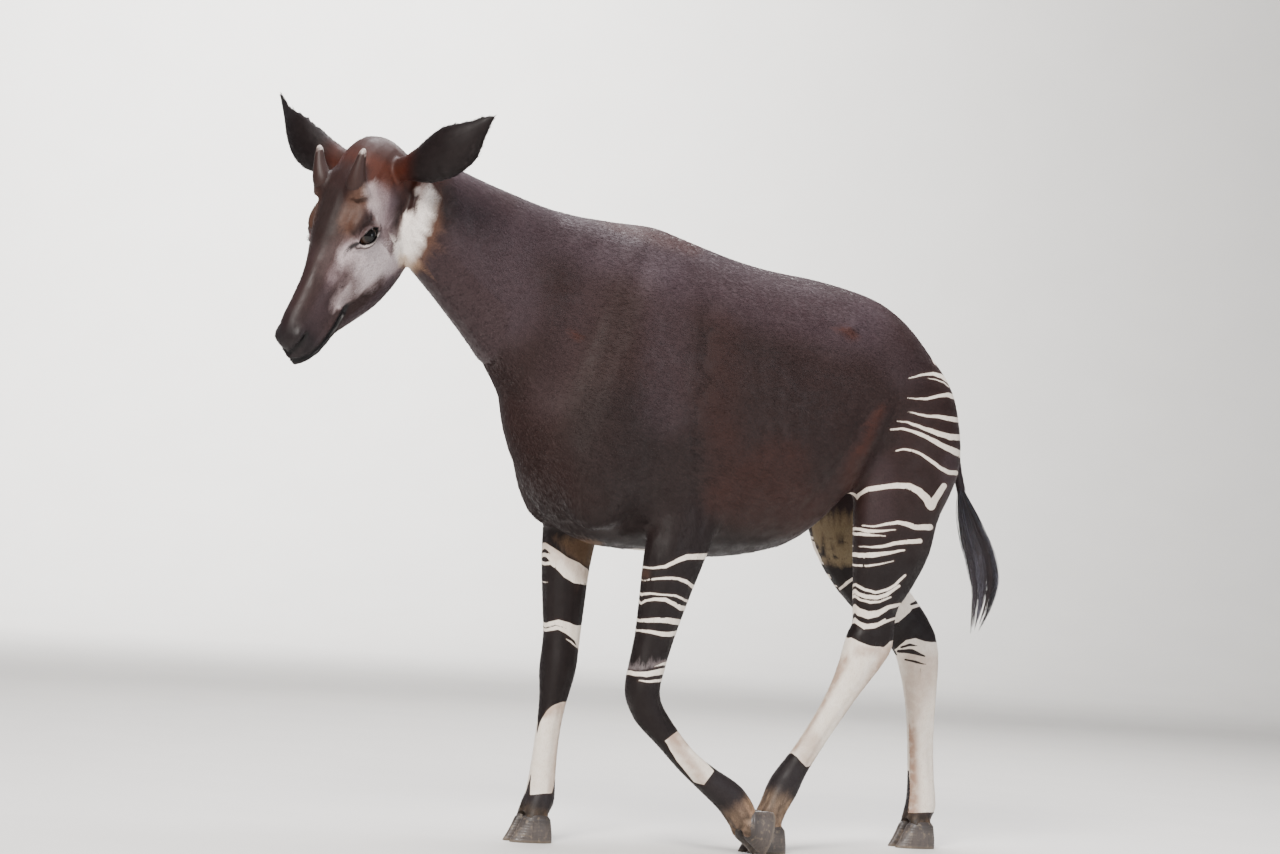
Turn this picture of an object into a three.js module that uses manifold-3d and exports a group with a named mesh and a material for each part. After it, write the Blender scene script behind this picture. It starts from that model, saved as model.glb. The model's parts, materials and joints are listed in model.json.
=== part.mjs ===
// Okapi, walking, on its four hooves: a life-size still model in millimetres, +Z up.
// The animal faces -X and its left side is towards -Y. The floor is Z = 0.
// While it is modelled, X = 0 is under the withers and Y = 0 is the middle of the body.

import * as THREE from 'three';
import { mergeVertices } from 'three/addons/utils/BufferGeometryUtils.js';
import Module from 'manifold-3d';

const wasm = await Module();
wasm.setup();

// Driving sizes of the body
const WITHERS = 1550;
const BARREL_HALF = 242;
const GAP = 0.3;
const MERGE = 0.01;
const FLATNESS = 0.8;

// Driving sizes of the head, in a frame of its own: x to the nose, y to the left, z to the forehead
const HEAD_ORIGIN = [-865, -61, 1450];
const HEAD_TURN = 16.5;
const HEAD_NOD = 54.5;
const HEAD_TILT = -4.1;
const EYE_RADIUS = 24;
const OSSICONE_LENGTH = 108;

// How many points go round each kind of ring
const ROUND_BODY = 24;
const ROUND_HEAD = 18;
const ROUND_LIMB = 14;
const ROUND_TOE = 12;
const ROUND_SMALL = 6;
const ROUND_EYE = 14;

const vector = (x, y, z) => new THREE.Vector3(x, y, z);
const UP = vector(0, 0, 1);
const LEFT = vector(0, -1, 0);
const degrees = THREE.MathUtils.degToRad;

// The same draw of numbers each time, from a seed
function seeded(seed) {
  let state = seed;
  return () => {
    state = (state * 1664525 + 1013904223) % 4294967296;
    return state / 4294967296;
  };
}

// Rows of sizes filled in between the named rows, on a smooth curve through them
function refine(rows, steps) {
  const out = [];
  for (let i = 0; i < rows.length - 1; i += 1) {
    const before = rows[Math.max(i - 1, 0)];
    const after = rows[Math.min(i + 2, rows.length - 1)];
    for (let s = 0; s < steps; s += 1) {
      const t = s / steps;
      out.push(rows[i].map((from, k) => {
        const to = rows[i + 1][k];
        const slopeFrom = (to - before[k]) / 2;
        const slopeTo = (after[k] - from) / 2;
        const t2 = t * t;
        const t3 = t2 * t;
        return (2 * t3 - 3 * t2 + 1) * from + (t3 - 2 * t2 + t) * slopeFrom
          + (3 * t2 - 2 * t3) * to + (t3 - t2) * slopeTo;
      }));
    }
  }
  out.push(rows.at(-1));
  return out;
}

// An egg-shaped ring round a centre: its half width, and its reach above and below
function ring(centre, across, upward, half, above, below, fullness, count) {
  const points = [];
  const power = 2 / fullness;
  for (let i = 0; i < count; i += 1) {
    const angle = (i / count) * 2 * Math.PI;
    const c = Math.cos(angle);
    const s = Math.sin(angle);
    const w = Math.sign(c) * Math.abs(c) ** power * half;
    const h = Math.sign(s) * Math.abs(s) ** power * (s > 0 ? above : below);
    points.push(centre.clone().addScaledVector(across, w).addScaledVector(upward, h));
  }
  return points;
}

// A closed solid from vertices and triangles, turned so that its faces point out
function solid(points, triangles) {
  let volume = 0;
  const cross = vector(0, 0, 0);
  for (const [a, b, c] of triangles) {
    volume += points[a].dot(cross.crossVectors(points[b], points[c]));
  }
  const turned = volume < 0 ? triangles.map(([a, b, c]) => [a, c, b]) : triangles;
  const mesh = new wasm.Mesh({
    numProp: 3,
    vertProperties: new Float32Array(points.flatMap((p) => [p.x, p.y, p.z])),
    triVerts: new Uint32Array(turned.flat()),
  });
  return new wasm.Manifold(mesh);
}

// Rings of equal count joined into one solid: with a fan at each end, or end to end as a loop
function loft(rings, loop = false) {
  const count = rings[0].length;
  const points = rings.flat();
  const triangles = [];
  const spans = loop ? rings.length : rings.length - 1;
  for (let r = 0; r < spans; r += 1) {
    const next = (r + 1) % rings.length;
    for (let i = 0; i < count; i += 1) {
      const j = (i + 1) % count;
      triangles.push([r * count + i, r * count + j, next * count + j]);
      triangles.push([r * count + i, next * count + j, next * count + i]);
    }
  }
  if (!loop) {
    for (const [first, flip] of [[0, true], [(rings.length - 1) * count, false]]) {
      const middle = vector(0, 0, 0);
      for (let i = 0; i < count; i += 1) middle.addScaledVector(points[first + i], 1 / count);
      points.push(middle);
      const hub = points.length - 1;
      for (let i = 0; i < count; i += 1) {
        const a = first + i;
        const b = first + ((i + 1) % count);
        triangles.push(flip ? [hub, b, a] : [hub, a, b]);
      }
    }
  }
  return solid(points, triangles);
}

// A three.js geometry as a solid, with its shared vertices merged
function fromGeometry(geometry, matrix) {
  const bare = geometry.clone().applyMatrix4(matrix);
  bare.deleteAttribute('normal');
  bare.deleteAttribute('uv');
  const merged = mergeVertices(bare, MERGE);
  const mesh = new wasm.Mesh({
    numProp: 3,
    vertProperties: new Float32Array(merged.attributes.position.array),
    triVerts: new Uint32Array(merged.index.array),
  });
  return new wasm.Manifold(mesh);
}

function ball(centre, radii, basis = new THREE.Matrix4(), round = 12) {
  const matrix = new THREE.Matrix4().makeScale(radii.x, radii.y, radii.z).premultiply(basis);
  matrix.setPosition(centre);
  return fromGeometry(new THREE.SphereGeometry(1, round, Math.round(round * 0.6)), matrix);
}

const joined = (pieces) => pieces.reduce((sum, piece) => sum.add(piece));

// A limb: rows of x, y, z, reach to the front, reach to the back, half width.
// Its rings stand square to the line through their centres, and stay level from side to side.
function limb(rows, steps = 2, count = ROUND_LIMB, fullness = 2.1) {
  const filled = refine(rows, steps);
  const centres = filled.map((row) => vector(row[0], row[1], row[2]));
  const rings = filled.map((row, i) => {
    const along = centres[Math.min(i + 1, centres.length - 1)].clone()
      .sub(centres[Math.max(i - 1, 0)]).normalize();
    const across = LEFT.clone().addScaledVector(along, -LEFT.dot(along)).normalize();
    const forward = across.clone().cross(along).normalize();
    if (forward.x > 0) forward.negate();
    return ring(centres[i], across, forward, row[5], row[3], row[4], fullness, count);
  });
  return loft(rings);
}

// A tube of changing radius along points, with its rings square to the line; may close on itself
function tube(points, radii, { round = ROUND_SMALL, flat = 1, lie = UP, loop = false } = {}) {
  const last = points.length - 1;
  const rings = points.map((point, i) => {
    const after = loop ? points[(i + 1) % points.length] : points[Math.min(i + 1, last)];
    const before = loop ? points[(i + last) % points.length] : points[Math.max(i - 1, 0)];
    const along = after.clone().sub(before).normalize();
    const across = along.clone().cross(lie).normalize();
    const over = across.clone().cross(along).normalize();
    return ring(point, across, over, radii[i], radii[i] * flat, radii[i] * flat, 2, round);
  });
  return loft(rings, loop);
}

// Points of a smooth line through a few named places
function line(places, count) {
  return new THREE.CatmullRomCurve3(places, false, 'centripetal').getPoints(count);
}

// A cut as thin as the gap between two nodes: a plate, square to the direction given
function thinCut(place, direction, reach, sideways = reach) {
  const turn = new THREE.Quaternion().setFromUnitVectors(UP, direction.clone().normalize());
  const matrix = new THREE.Matrix4().compose(place, turn, vector(1, 1, 1));
  return fromGeometry(new THREE.BoxGeometry(2 * reach, 2 * sideways, GAP), matrix);
}

// Torso

// Rows of x, top, bottom, half width, height of the widest place
const TORSO = [
  [-352, 1120, 1062, 24, 1092],
  [-332, 1200, 1000, 66, 1105],
  [-292, 1320, 925, 110, 1115],
  [-238, 1420, 845, 146, 1120],
  [-172, 1485, 782, 172, 1110],
  [-84, 1537, 748, 190, 1090],
  [20, WITHERS - 4, 739, 200, 1070],
  [130, 1518, 735, 220, 1050],
  [260, 1484, 730, BARREL_HALF, 1040],
  [390, 1461, 748, BARREL_HALF + 4, 1050],
  [500, 1452, 790, 236, 1080],
  [600, 1436, 886, 220, 1130],
  [700, 1412, 955, 204, 1160],
  [780, 1362, 975, 180, 1165],
  [848, 1296, 985, 146, 1155],
  [900, 1236, 1030, 94, 1140],
  [924, 1188, 1085, 46, 1135],
];
const BODY_FULLNESS = 2.15;

function torsoSolid() {
  const rings = refine(TORSO, 2).map(([x, top, bottom, half, widest]) => ring(
    vector(x, 0, widest),
    LEFT,
    UP,
    half,
    top - widest,
    widest - bottom,
    BODY_FULLNESS,
    ROUND_BODY,
  ));
  const shoulders = [-1, 1].map((side) => {
    const lean = new THREE.Matrix4().makeRotationY(degrees(14));
    return ball(vector(-70, side * 100, 1120), vector(170, 110, 350), lean, 20);
  });
  return joined([loft(rings), ...shoulders]);
}

// Neck

// Rows of top x, top z, throat x, throat z, middle y, half width
const NECK = [
  [-690, 1652, -730, 1440, -58, 62],
  [-610, 1654, -670, 1385, -52, 74],
  [-545, 1636, -606, 1334, -42, 82],
  [-460, 1611, -534, 1272, -30, 92],
  [-370, 1589, -457, 1203, -16, 105],
  [-270, 1565, -388, 1130, -5, 122],
  [-150, 1551, -330, 1050, 0, 142],
  [-10, 1545, -255, 970, 0, 160],
];

function neckSolid() {
  const rings = refine(NECK, 2).map(([topX, topZ, throatX, throatZ, y, half]) => {
    const top = vector(topX, y, topZ);
    const throat = vector(throatX, y, throatZ);
    const upward = top.clone().sub(throat);
    const depth = upward.length();
    upward.normalize();
    const centre = throat.clone().lerp(top, 0.46);
    return ring(centre, LEFT, upward, half, depth * 0.54, depth * 0.46, 2.05, ROUND_BODY - 4);
  });
  return loft(rings);
}

// Head

function headFrame() {
  const turn = degrees(HEAD_TURN);
  const nod = degrees(HEAD_NOD);
  const tilt = degrees(HEAD_TILT);
  const forward = vector(
    -Math.cos(turn) * Math.cos(nod),
    -Math.sin(turn) * Math.cos(nod),
    -Math.sin(nod),
  );
  const level = vector(Math.sin(turn), -Math.cos(turn), 0);
  const crown = forward.clone().cross(level);
  const left = level.clone().multiplyScalar(Math.cos(tilt)).addScaledVector(crown, Math.sin(tilt));
  const top = forward.clone().cross(left);
  return new THREE.Matrix4().makeBasis(forward, left, top).setPosition(...HEAD_ORIGIN);
}

const HEAD = headFrame();
const HEAD_BASIS = new THREE.Matrix4().extractRotation(HEAD);
const inHead = (x, y, z) => vector(x, y, z).applyMatrix4(HEAD);
const headWay = (x, y, z) => vector(x, y, z).normalize().transformDirection(HEAD);

// Rows of x, top, bottom, half width, height of the widest place
const SKULL = [
  [-262, 48, -98, 42, -30],
  [-235, 86, -140, 68, -34],
  [-190, 106, -175, 82, -36],
  [-140, 108, -198, 86, -40],
  [-80, 100, -210, 86, -40],
  [-20, 88, -213, 83, -34],
  [40, 69, -205, 71, -40],
  [90, 51, -188, 58, -52],
  [140, 36, -164, 48, -56],
  [190, 26, -140, 43, -52],
  [240, 20, -122, 41, -52],
  [276, 11, -110, 41, -52],
  [300, -2, -100, 37, -54],
  [315, -20, -88, 27, -55],
  [322, -38, -74, 13, -55],
];

// The line of the mouth, from the middle of the front to the corner on the left
const MOUTH = [
  [328, 0, -74],
  [312, 28, -78],
  [282, 41, -85],
  [240, 45, -92],
  [200, 48, -93],
  [163, 54, -88],
];
const EYE_CENTRE = [-3, 77, 1];
const EYE_OUTWARD = [0.2, 0.94, 0.26];
const EYE_ALONG = [0.92, -0.22, 0.3];
const LID_REACH = [31, 19];
const LID_THICK = 5;
const NOSTRIL_FRONT = [326, 25, -27];
const NOSTRIL_BACK = [272, 44, -34];

const mirrored = (place, side) => [place[0], place[1] * side, place[2]];

function skullSolid() {
  const across = headWay(0, 1, 0);
  const upward = headWay(0, 0, 1);
  const rings = refine(SKULL, 2).map(([x, top, bottom, half, widest]) => ring(
    inHead(x, 0, widest),
    across,
    upward,
    half,
    top - widest,
    widest - bottom,
    2.2,
    ROUND_HEAD,
  ));
  const pieces = [loft(rings)];
  for (const side of [-1, 1]) {
    pieces.push(ball(inHead(-22, side * 62, 32), vector(46, 26, 24), HEAD_BASIS));
    pieces.push(ball(inHead(276, side * 22, -28), vector(36, 22, 25), HEAD_BASIS));
  }
  return joined(pieces);
}

// The two lids: a ring round the opening that hugs the eyeball, with a point at each corner
function lidRing(side) {
  const centre = inHead(...mirrored(EYE_CENTRE, side));
  const outward = headWay(...mirrored(EYE_OUTWARD, side));
  const along = headWay(...mirrored(EYE_ALONG, side));
  const over = outward.clone().cross(along).multiplyScalar(side).normalize();
  const points = [];
  const steps = 14;
  for (let i = 0; i < steps; i += 1) {
    const angle = (i / steps) * 2 * Math.PI;
    const point = centre.clone()
      .addScaledVector(along, Math.cos(angle) * LID_REACH[0])
      .addScaledVector(over, Math.sin(angle) * LID_REACH[1]);
    const depth = Math.max(EYE_RADIUS ** 2 - point.distanceToSquared(centre), 36);
    points.push(point.addScaledVector(outward, Math.sqrt(depth)));
  }
  return tube(points, points.map(() => LID_THICK), { lie: outward, loop: true, round: 6 });
}

// A line along the mouth from one corner round the front to the other, raised and moved outwards
function mouthPath(lift, out, count) {
  const half = MOUTH.map(([x, y, z]) => [x + out * 0.4, y > 0 ? y + out : 0, z + lift]);
  const left = half.slice(1).reverse();
  const right = half.slice(1).map((place) => mirrored(place, -1));
  return line([...left, half[0], ...right].map((place) => inHead(...place)), count);
}

function lips() {
  const count = 14;
  const swell = (i) => 7 + 3.5 * Math.sin((Math.PI * i) / count);
  const upper = mouthPath(9, -9, count);
  const lower = mouthPath(-9, -10, count);
  return tube(upper, upper.map((_, i) => swell(i)))
    .add(tube(lower, lower.map((_, i) => 0.88 * swell(i))));
}

function mouthGroove() {
  const path = mouthPath(0, 1, 14);
  return tube(path, path.map(() => 3.4), { round: 5 });
}

function nostril(side) {
  const path = line([
    inHead(...mirrored(NOSTRIL_FRONT, side)),
    inHead(303, side * 39, -26),
    inHead(...mirrored(NOSTRIL_BACK, side)),
  ], 6);
  return tube(path, [3.5, 6, 7, 6.5, 5, 3.6, 2], { round: 6 });
}

function ossicone(side) {
  const root = inHead(-68, side * 45, 62);
  const tip = inHead(-150, side * 71, 62 + OSSICONE_LENGTH * 0.76);
  const bend = inHead(-98, side * 58, 108);
  const path = line([root, bend, tip], 6);
  return tube(path, [36, 29, 23, 18.5, 14.5, 11.5, 5], { round: 12, lie: headWay(0, 1, 0) });
}

// Ears

const EAR_ROOT = [-190, 50, 8];
const EAR_TIP = [-340, 356, 90];
const EAR_BULGE = [-220, 206, 44];

// Rows of the share of the ear's length, half width, depth of the shell, depth of the cup, turn in degrees
const EAR = [
  [0, 30, 26, 0, 0],
  [0.08, 31, 28, 0, 0],
  [0.19, 36, 30, 2, 0],
  [0.3, 47, 34, 14, 6],
  [0.43, 58, 36, 27, 14],
  [0.56, 60, 34, 28, 22],
  [0.67, 50, 29, 22, 30],
  [0.78, 30, 20, 13, 36],
  [0.89, 17, 12, 6, 40],
  [1, 4, 3, 1, 40],
];

// A cupped leaf: the back of the shell is round, and the front of it is hollow
function ear(side) {
  const curve = new THREE.CatmullRomCurve3([
    inHead(...mirrored(EAR_ROOT, side)),
    inHead(...mirrored(EAR_BULGE, side)),
    inHead(...mirrored(EAR_TIP, side)),
  ]);
  const opening = headWay(-0.42, side * -0.06, -0.8);
  const rings = refine(EAR, 2).map(([share, half, shell, cup, turn]) => {
    const centre = curve.getPointAt(Math.min(share, 1));
    const along = curve.getTangentAt(Math.min(share, 1));
    const front = opening.clone().applyAxisAngle(along, degrees(turn * side));
    front.addScaledVector(along, -front.dot(along)).normalize();
    const across = front.clone().cross(along).normalize();
    const points = [];
    const arc = 9;
    for (let i = 0; i < arc; i += 1) {
      const angle = Math.PI * (i / (arc - 1));
      points.push(centre.clone()
        .addScaledVector(across, Math.cos(angle) * half)
        .addScaledVector(front, -Math.sin(angle) * shell));
    }
    for (let i = 1; i < arc - 1; i += 1) {
      const angle = Math.PI * (1 - i / (arc - 1));
      points.push(centre.clone()
        .addScaledVector(across, Math.cos(angle) * half * 0.86)
        .addScaledVector(front, (4 - cup) * Math.sin(angle)));
    }
    return points;
  });
  return loft(rings);
}

// Legs: rows of x, y, z, reach to the front, reach to the back, half width

const RIGHT_FORE = [
  [-45, 118, 900, 105, 95, 62],
  [-62, 122, 800, 80, 78, 58],
  [-74, 118, 700, 66, 66, 54],
  [-76, 114, 600, 56, 58, 47],
  [-76, 112, 510, 48, 50, 42],
  [-78, 110, 455, 50, 47, 44],
  [-80, 109, 415, 49, 42, 43],
  [-89, 107, 365, 38, 38, 34],
  [-99, 105, 300, 31, 34, 29],
  [-107, 103, 220, 31, 35, 28],
  [-112, 101, 150, 34, 38, 33],
  [-115, 100, 110, 38, 40, 39],
  [-126, 100, 82, 38, 36, 41],
  [-134, 100, 62, 36, 30, 38],
];
const LEFT_FORE = [
  [134, -122, 920, 108, 96, 60],
  [108, -132, 820, 96, 90, 58],
  [80, -134, 720, 82, 80, 55],
  [60, -134, 620, 67, 63, 48],
  [40, -132, 520, 51, 51, 42],
  [26, -131, 450, 47, 47, 42],
  [22, -131, 398, 47, 42, 43],
  [42, -136, 346, 44, 38, 37],
  [86, -147, 290, 32, 35, 29],
  [141, -160, 232, 30, 33, 28],
  [204, -171, 184, 33, 37, 32],
  [262, -179, 146, 40, 42, 38],
  [296, -184, 108, 40, 40, 40],
  [310, -186, 78, 34, 32, 36],
];
const LEFT_HIND = [
  [730, -80, 1290, 60, 50, 34],
  [748, -98, 1230, 112, 105, 66],
  [764, -108, 1160, 150, 142, 84],
  [772, -116, 1080, 162, 152, 88],
  [778, -124, 1000, 150, 150, 86],
  [746, -130, 900, 136, 128, 78],
  [736, -130, 800, 121, 117, 66],
  [720, -126, 716, 96, 93, 54],
  [702, -122, 645, 67, 70, 46],
  [702, -119, 592, 58, 62, 42],
  [698, -117, 545, 70, 66, 43],
  [682, -114, 500, 64, 54, 43],
  [645, -106, 428, 44, 40, 36],
  [600, -98, 350, 34, 34, 30],
  [548, -89, 265, 31, 33, 29],
  [510, -83, 205, 36, 37, 34],
  [488, -80, 165, 40, 42, 39],
  [466, -80, 120, 36, 36, 37],
  [450, -80, 80, 38, 34, 41],
  [444, -80, 62, 36, 30, 38],
];
const RIGHT_HIND = [
  [730, 80, 1290, 60, 50, 34],
  [748, 98, 1230, 112, 105, 66],
  [764, 108, 1160, 150, 142, 84],
  [776, 116, 1080, 160, 150, 88],
  [778, 124, 1000, 148, 148, 86],
  [768, 134, 900, 134, 136, 78],
  [786, 138, 800, 108, 116, 66],
  [838, 136, 710, 90, 94, 54],
  [900, 131, 640, 74, 78, 46],
  [962, 126, 582, 64, 72, 42],
  [1008, 122, 530, 64, 64, 43],
  [1022, 119, 478, 58, 56, 43],
  [1030, 117, 410, 47, 48, 37],
  [1036, 115, 330, 39, 40, 31],
  [1042, 113, 240, 36, 38, 30],
  [1048, 111, 160, 36, 39, 34],
  [1052, 110, 115, 40, 42, 40],
  [1044, 110, 84, 38, 36, 41],
  [1036, 110, 62, 36, 30, 38],
];

// Feet

const TOE_LENGTH = 63;
const HEEL_LENGTH = 50;
const TOE_HALF = 22;
const TOE_APART = 24.5;
const HOOF_HEIGHT = 58;
const CORONET_WAY = vector(0.2, 0, 1);

// Rows of height over the sole, reach to the toe, reach to the heel, half width
const TOE = [
  [0, TOE_LENGTH, HEEL_LENGTH, TOE_HALF],
  [22, TOE_LENGTH - 13, HEEL_LENGTH - 1, TOE_HALF + 1],
  [HOOF_HEIGHT, TOE_LENGTH - 31, HEEL_LENGTH - 7, TOE_HALF],
  [HOOF_HEIGHT + 18, 20, 32, 14],
];

// The frame of a foot: its place is the middle of the sole, and flexing turns the toe down
function footFrame(x, y, z, flexed, splay) {
  const turn = new THREE.Matrix4().makeRotationY(degrees(-flexed));
  const out = new THREE.Matrix4().makeRotationZ(degrees(splay));
  return out.multiply(turn).setPosition(x, y, z);
}

// All that lies under the coronet of a foot, which the pastern keeps out of
function underCoronet(foot) {
  const reach = 90;
  const tilt = new THREE.Quaternion().setFromUnitVectors(UP, CORONET_WAY.clone().normalize());
  const matrix = new THREE.Matrix4().compose(vector(0, 0, HOOF_HEIGHT), tilt, vector(1, 1, 1));
  matrix.multiply(new THREE.Matrix4().makeTranslation(0, 0, -reach)).premultiply(foot);
  return fromGeometry(new THREE.BoxGeometry(2 * reach, 2 * reach, 2 * reach), matrix);
}

// Two toes side by side, with the cleft between them
function toes(frame) {
  return [-1, 1].map((side) => {
    const rings = TOE.map(([height, front, back, half]) => ring(
      vector(0, side * TOE_APART, height),
      vector(0, side, 0),
      vector(-1, 0, 0),
      half,
      front,
      back,
      height > 0 ? 2 : 1.9,
      ROUND_TOE,
    ).map((point) => point.applyMatrix4(frame)));
    return loft(rings);
  });
}

const LEGS = {
  right_fore: {
    rows: RIGHT_FORE,
    foot: footFrame(-136, 100, 0, 0, -4),
    cuts: { forearm: [[-66, 730], 0], cannon: [[-76, 482], 0], pastern: [[-113, 140], -4] },
  },
  left_fore: {
    rows: LEFT_FORE,
    foot: footFrame(366, -188, 64, 80, 3),
    cuts: { forearm: [[84, 727], -12], cannon: [[28, 462], -8], pastern: [[232, 170], 52] },
  },
  left_hind: {
    rows: LEFT_HIND,
    foot: footFrame(442, -80, 0, 0, 4),
    cuts: {
      thigh: [[768, 916], 18], gaskin: [[724, 745], 8], cannon: [[702, 592], -4], pastern: [[508, 200], -30],
    },
  },
  right_hind: {
    rows: RIGHT_HIND,
    foot: footFrame(1036, 110, 0, 0, -4),
    cuts: {
      thigh: [[768, 916], 18], gaskin: [[820, 745], 36], cannon: [[950, 600], 42], pastern: [[1050, 142], 2],
    },
  },
};

// Tail

const DOCK = [[880, 0, 1215], [955, 0, 1190], [992, 0, 1090], [1018, 2, 985], [1052, 3, 895], [1092, 4, 800]];
const DOCK_RADII = [30, 27, 20, 16.5, 14.5, 13.5, 13, 12.5, 12, 11, 8];
const DOCK_CUT = [975, 0, 1150];
const TUFT_CUT = [1036, 2, 935];
const TUFT_LINE = [[1050, 3, 900], [1082, 3, 830], [1116, 2, 760], [1132, 0, 690], [1118, 0, 610], [1099, 0, 552]];
const TUFT_WISP = vector(1140, 4, 664);
const DOCK_END = vector(1048, 3, 906);
const TUFT_SEED = 7;
const TUFT_LOCKS = 15;
const TUFT_REACH = 30;
const LOCK_WIDTH = 15;
const LOCK_FLAT = 0.4;

const pointOf = (place) => vector(...place);

function dock() {
  return tube(line(DOCK.map(pointOf), 10), DOCK_RADII, { round: 10, lie: LEFT });
}

// A flat lock of hair, from its root inside the dock out to its tip
function lock(root, belly, tip, width, lie) {
  const path = line([root, belly, tip], 5);
  const taper = [0.55, 0.95, 1, 0.8, 0.48, 0.07];
  return tube(path, taper.map((share) => share * width), { round: 4, flat: LOCK_FLAT, lie });
}

// The tuft: locks fanned round the end of the dock, longer and further back the lower they start
function tuft() {
  const draw = seeded(TUFT_SEED);
  const locks = [];
  const middle = line(TUFT_LINE.map(pointOf), 20);
  for (let i = 0; i < TUFT_LOCKS; i += 1) {
    const round = i * 2.4 + draw() * 0.5;
    const low = i / (TUFT_LOCKS - 1);
    const root = DOCK_END.clone().lerp(middle[5], 0.75 * low + 0.1 * draw());
    const out = vector(Math.cos(round), Math.sin(round), 0.15 * draw());
    const bellyAt = middle[Math.min(Math.round(5 + 5 * low + 2 * draw()), 20)];
    const tipAt = middle[Math.min(Math.round(11 + 7 * low + 3 * draw()), 20)];
    const spread = TUFT_REACH * (0.72 + 0.28 * draw());
    const belly = bellyAt.clone().addScaledVector(out, spread);
    const reach = spread * (0.9 - 0.55 * low);
    const tip = tipAt.clone().addScaledVector(out, reach);
    locks.push(lock(root, belly, tip, LOCK_WIDTH * (0.8 + 0.4 * draw()), out));
  }
  const end = middle[20];
  locks.push(lock(middle[3], middle[12], end, LOCK_WIDTH, LEFT));
  locks.push(lock(middle[4], middle[10].clone().add(vector(8, 6, 0)), TUFT_WISP.clone(), 0.8 * LOCK_WIDTH, LEFT));
  const core = tube(middle.slice(0, 9), [11, 13, 17, 20, 22, 21, 18, 13, 5], { round: 8, lie: LEFT });
  return joined([core, ...locks]);
}

// The whole animal, then its parts

const eyeballs = [-1, 1].map((side) => {
  const place = inHead(...mirrored(EYE_CENTRE, side));
  return {
    name: side > 0 ? 'eye_left' : 'eye_right',
    piece: ball(place, vector(1, 1, 1).multiplyScalar(EYE_RADIUS), HEAD_BASIS, ROUND_EYE),
    socket: ball(place, vector(1, 1, 1).multiplyScalar(EYE_RADIUS + GAP), HEAD_BASIS, ROUND_EYE),
  };
});

function headSolid() {
  let head = skullSolid().add(lips()).subtract(mouthGroove());
  for (const side of [-1, 1]) head = head.add(lidRing(side)).subtract(nostril(side));
  for (const side of [-1, 1]) head = head.add(ossicone(side)).add(ear(side));
  return head;
}

function wholeSolid() {
  const pieces = [torsoSolid(), neckSolid(), headSolid(), dock()];
  for (const { rows, foot } of Object.values(LEGS)) {
    pieces.push(limb(rows).subtract(underCoronet(foot)), ...toes(foot));
  }
  let whole = joined(pieces).simplify(FLATNESS).add(tuft().simplify(FLATNESS));
  for (const eye of eyeballs) whole = whole.subtract(eye.socket);
  return whole;
}

// Where each part is found after the cuts, and where it is cut from its neighbour
const SEEDS = {
  torso: vector(300, -BARREL_HALF, 1040),
  neck: vector(-480, -115, 1440),
  head: inHead(100, 50, -40),
  tail: vector(1005, 0, 1040),
  tail_tuft: vector(1100, 0, 760),
};
const CUTS = [
  thinCut(vector(-660, -24, 1505), vector(-1, 0, 0.26), 235, 148),
  thinCut(vector(-275, 0, 1320), vector(-1, 0, 0.62), 420),
  thinCut(pointOf(DOCK_CUT), vector(0.3, 0, -1), 42),
  thinCut(pointOf(TUFT_CUT), vector(0.35, 0, -1), 40),
];

// How far each plate reaches from its middle, and how far from the middle of the body it stands
const PLATE_REACH = { thigh: 186, forearm: 118, gaskin: 140, cannon: 140, pastern: 60 };
const PLATE_OUT = { thigh: 190, forearm: 135 };
const CORONET_REACH = 78;
const CANNON_ROW = 5;

for (const side of [-1, 1]) {
  const hand = side > 0 ? 'left' : 'right';
  SEEDS[`ear_${hand}`] = inHead(...mirrored(EAR_BULGE, side));
  SEEDS[`ossicone_${hand}`] = inHead(-140, side * 68, 130);
  CUTS.push(thinCut(inHead(-206, side * 118, 30), headWay(-0.25, side, 0.22), 52));
  CUTS.push(thinCut(inHead(-92, side * 52, 99), headWay(-0.66, side * 0.26, 0.7), 33));
}

for (const [leg, { rows, foot, cuts }] of Object.entries(LEGS)) {
  const names = Object.keys(cuts);
  const away = Math.sign(rows[CANNON_ROW][1]);
  names.forEach((part, i) => {
    const [[x, z], lean] = cuts[part];
    const angle = degrees(lean);
    const [level] = rows.map((row) => pointOf(row.slice(0, 3)))
      .sort((a, b) => Math.abs(a.z - z) - Math.abs(b.z - z));
    const outward = part in PLATE_OUT ? away * PLATE_OUT[part] : level.y;
    const square = vector(Math.sin(angle), 0, -Math.cos(angle));
    CUTS.push(thinCut(vector(x, outward, z), square, PLATE_REACH[part]));
    if (i + 1 < names.length) {
      const next = cuts[names[i + 1]][0];
      SEEDS[`${leg}_${part}`] = vector((x + next[0]) / 2, rows[CANNON_ROW][1], (z + next[1]) / 2);
    }
  });
  const coronet = vector(0, 0, HOOF_HEIGHT - 2).applyMatrix4(foot);
  CUTS.push(thinCut(coronet, CORONET_WAY.clone().transformDirection(foot), CORONET_REACH));
  SEEDS[`${leg}_pastern`] = vector(0, 0, HOOF_HEIGHT + 14).applyMatrix4(foot);
  for (const side of [-1, 1]) {
    const name = side < 0 ? 'left' : 'right';
    SEEDS[`${leg}_hoof_${name}`] = vector(0, side * TOE_APART, HOOF_HEIGHT * 0.4).applyMatrix4(foot);
  }
}

// The floor: nothing reaches below it, and each sole is flat on it
const FLOOR_SIZE = 4000;
const below = new THREE.Matrix4().makeTranslation(0, 0, -FLOOR_SIZE / 2);
const ground = fromGeometry(new THREE.BoxGeometry(FLOOR_SIZE, FLOOR_SIZE, FLOOR_SIZE), below);

const pieces = joined(CUTS).subtract(ground);
const parted = wholeSolid().subtract(ground).subtract(pieces).decompose();

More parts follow.
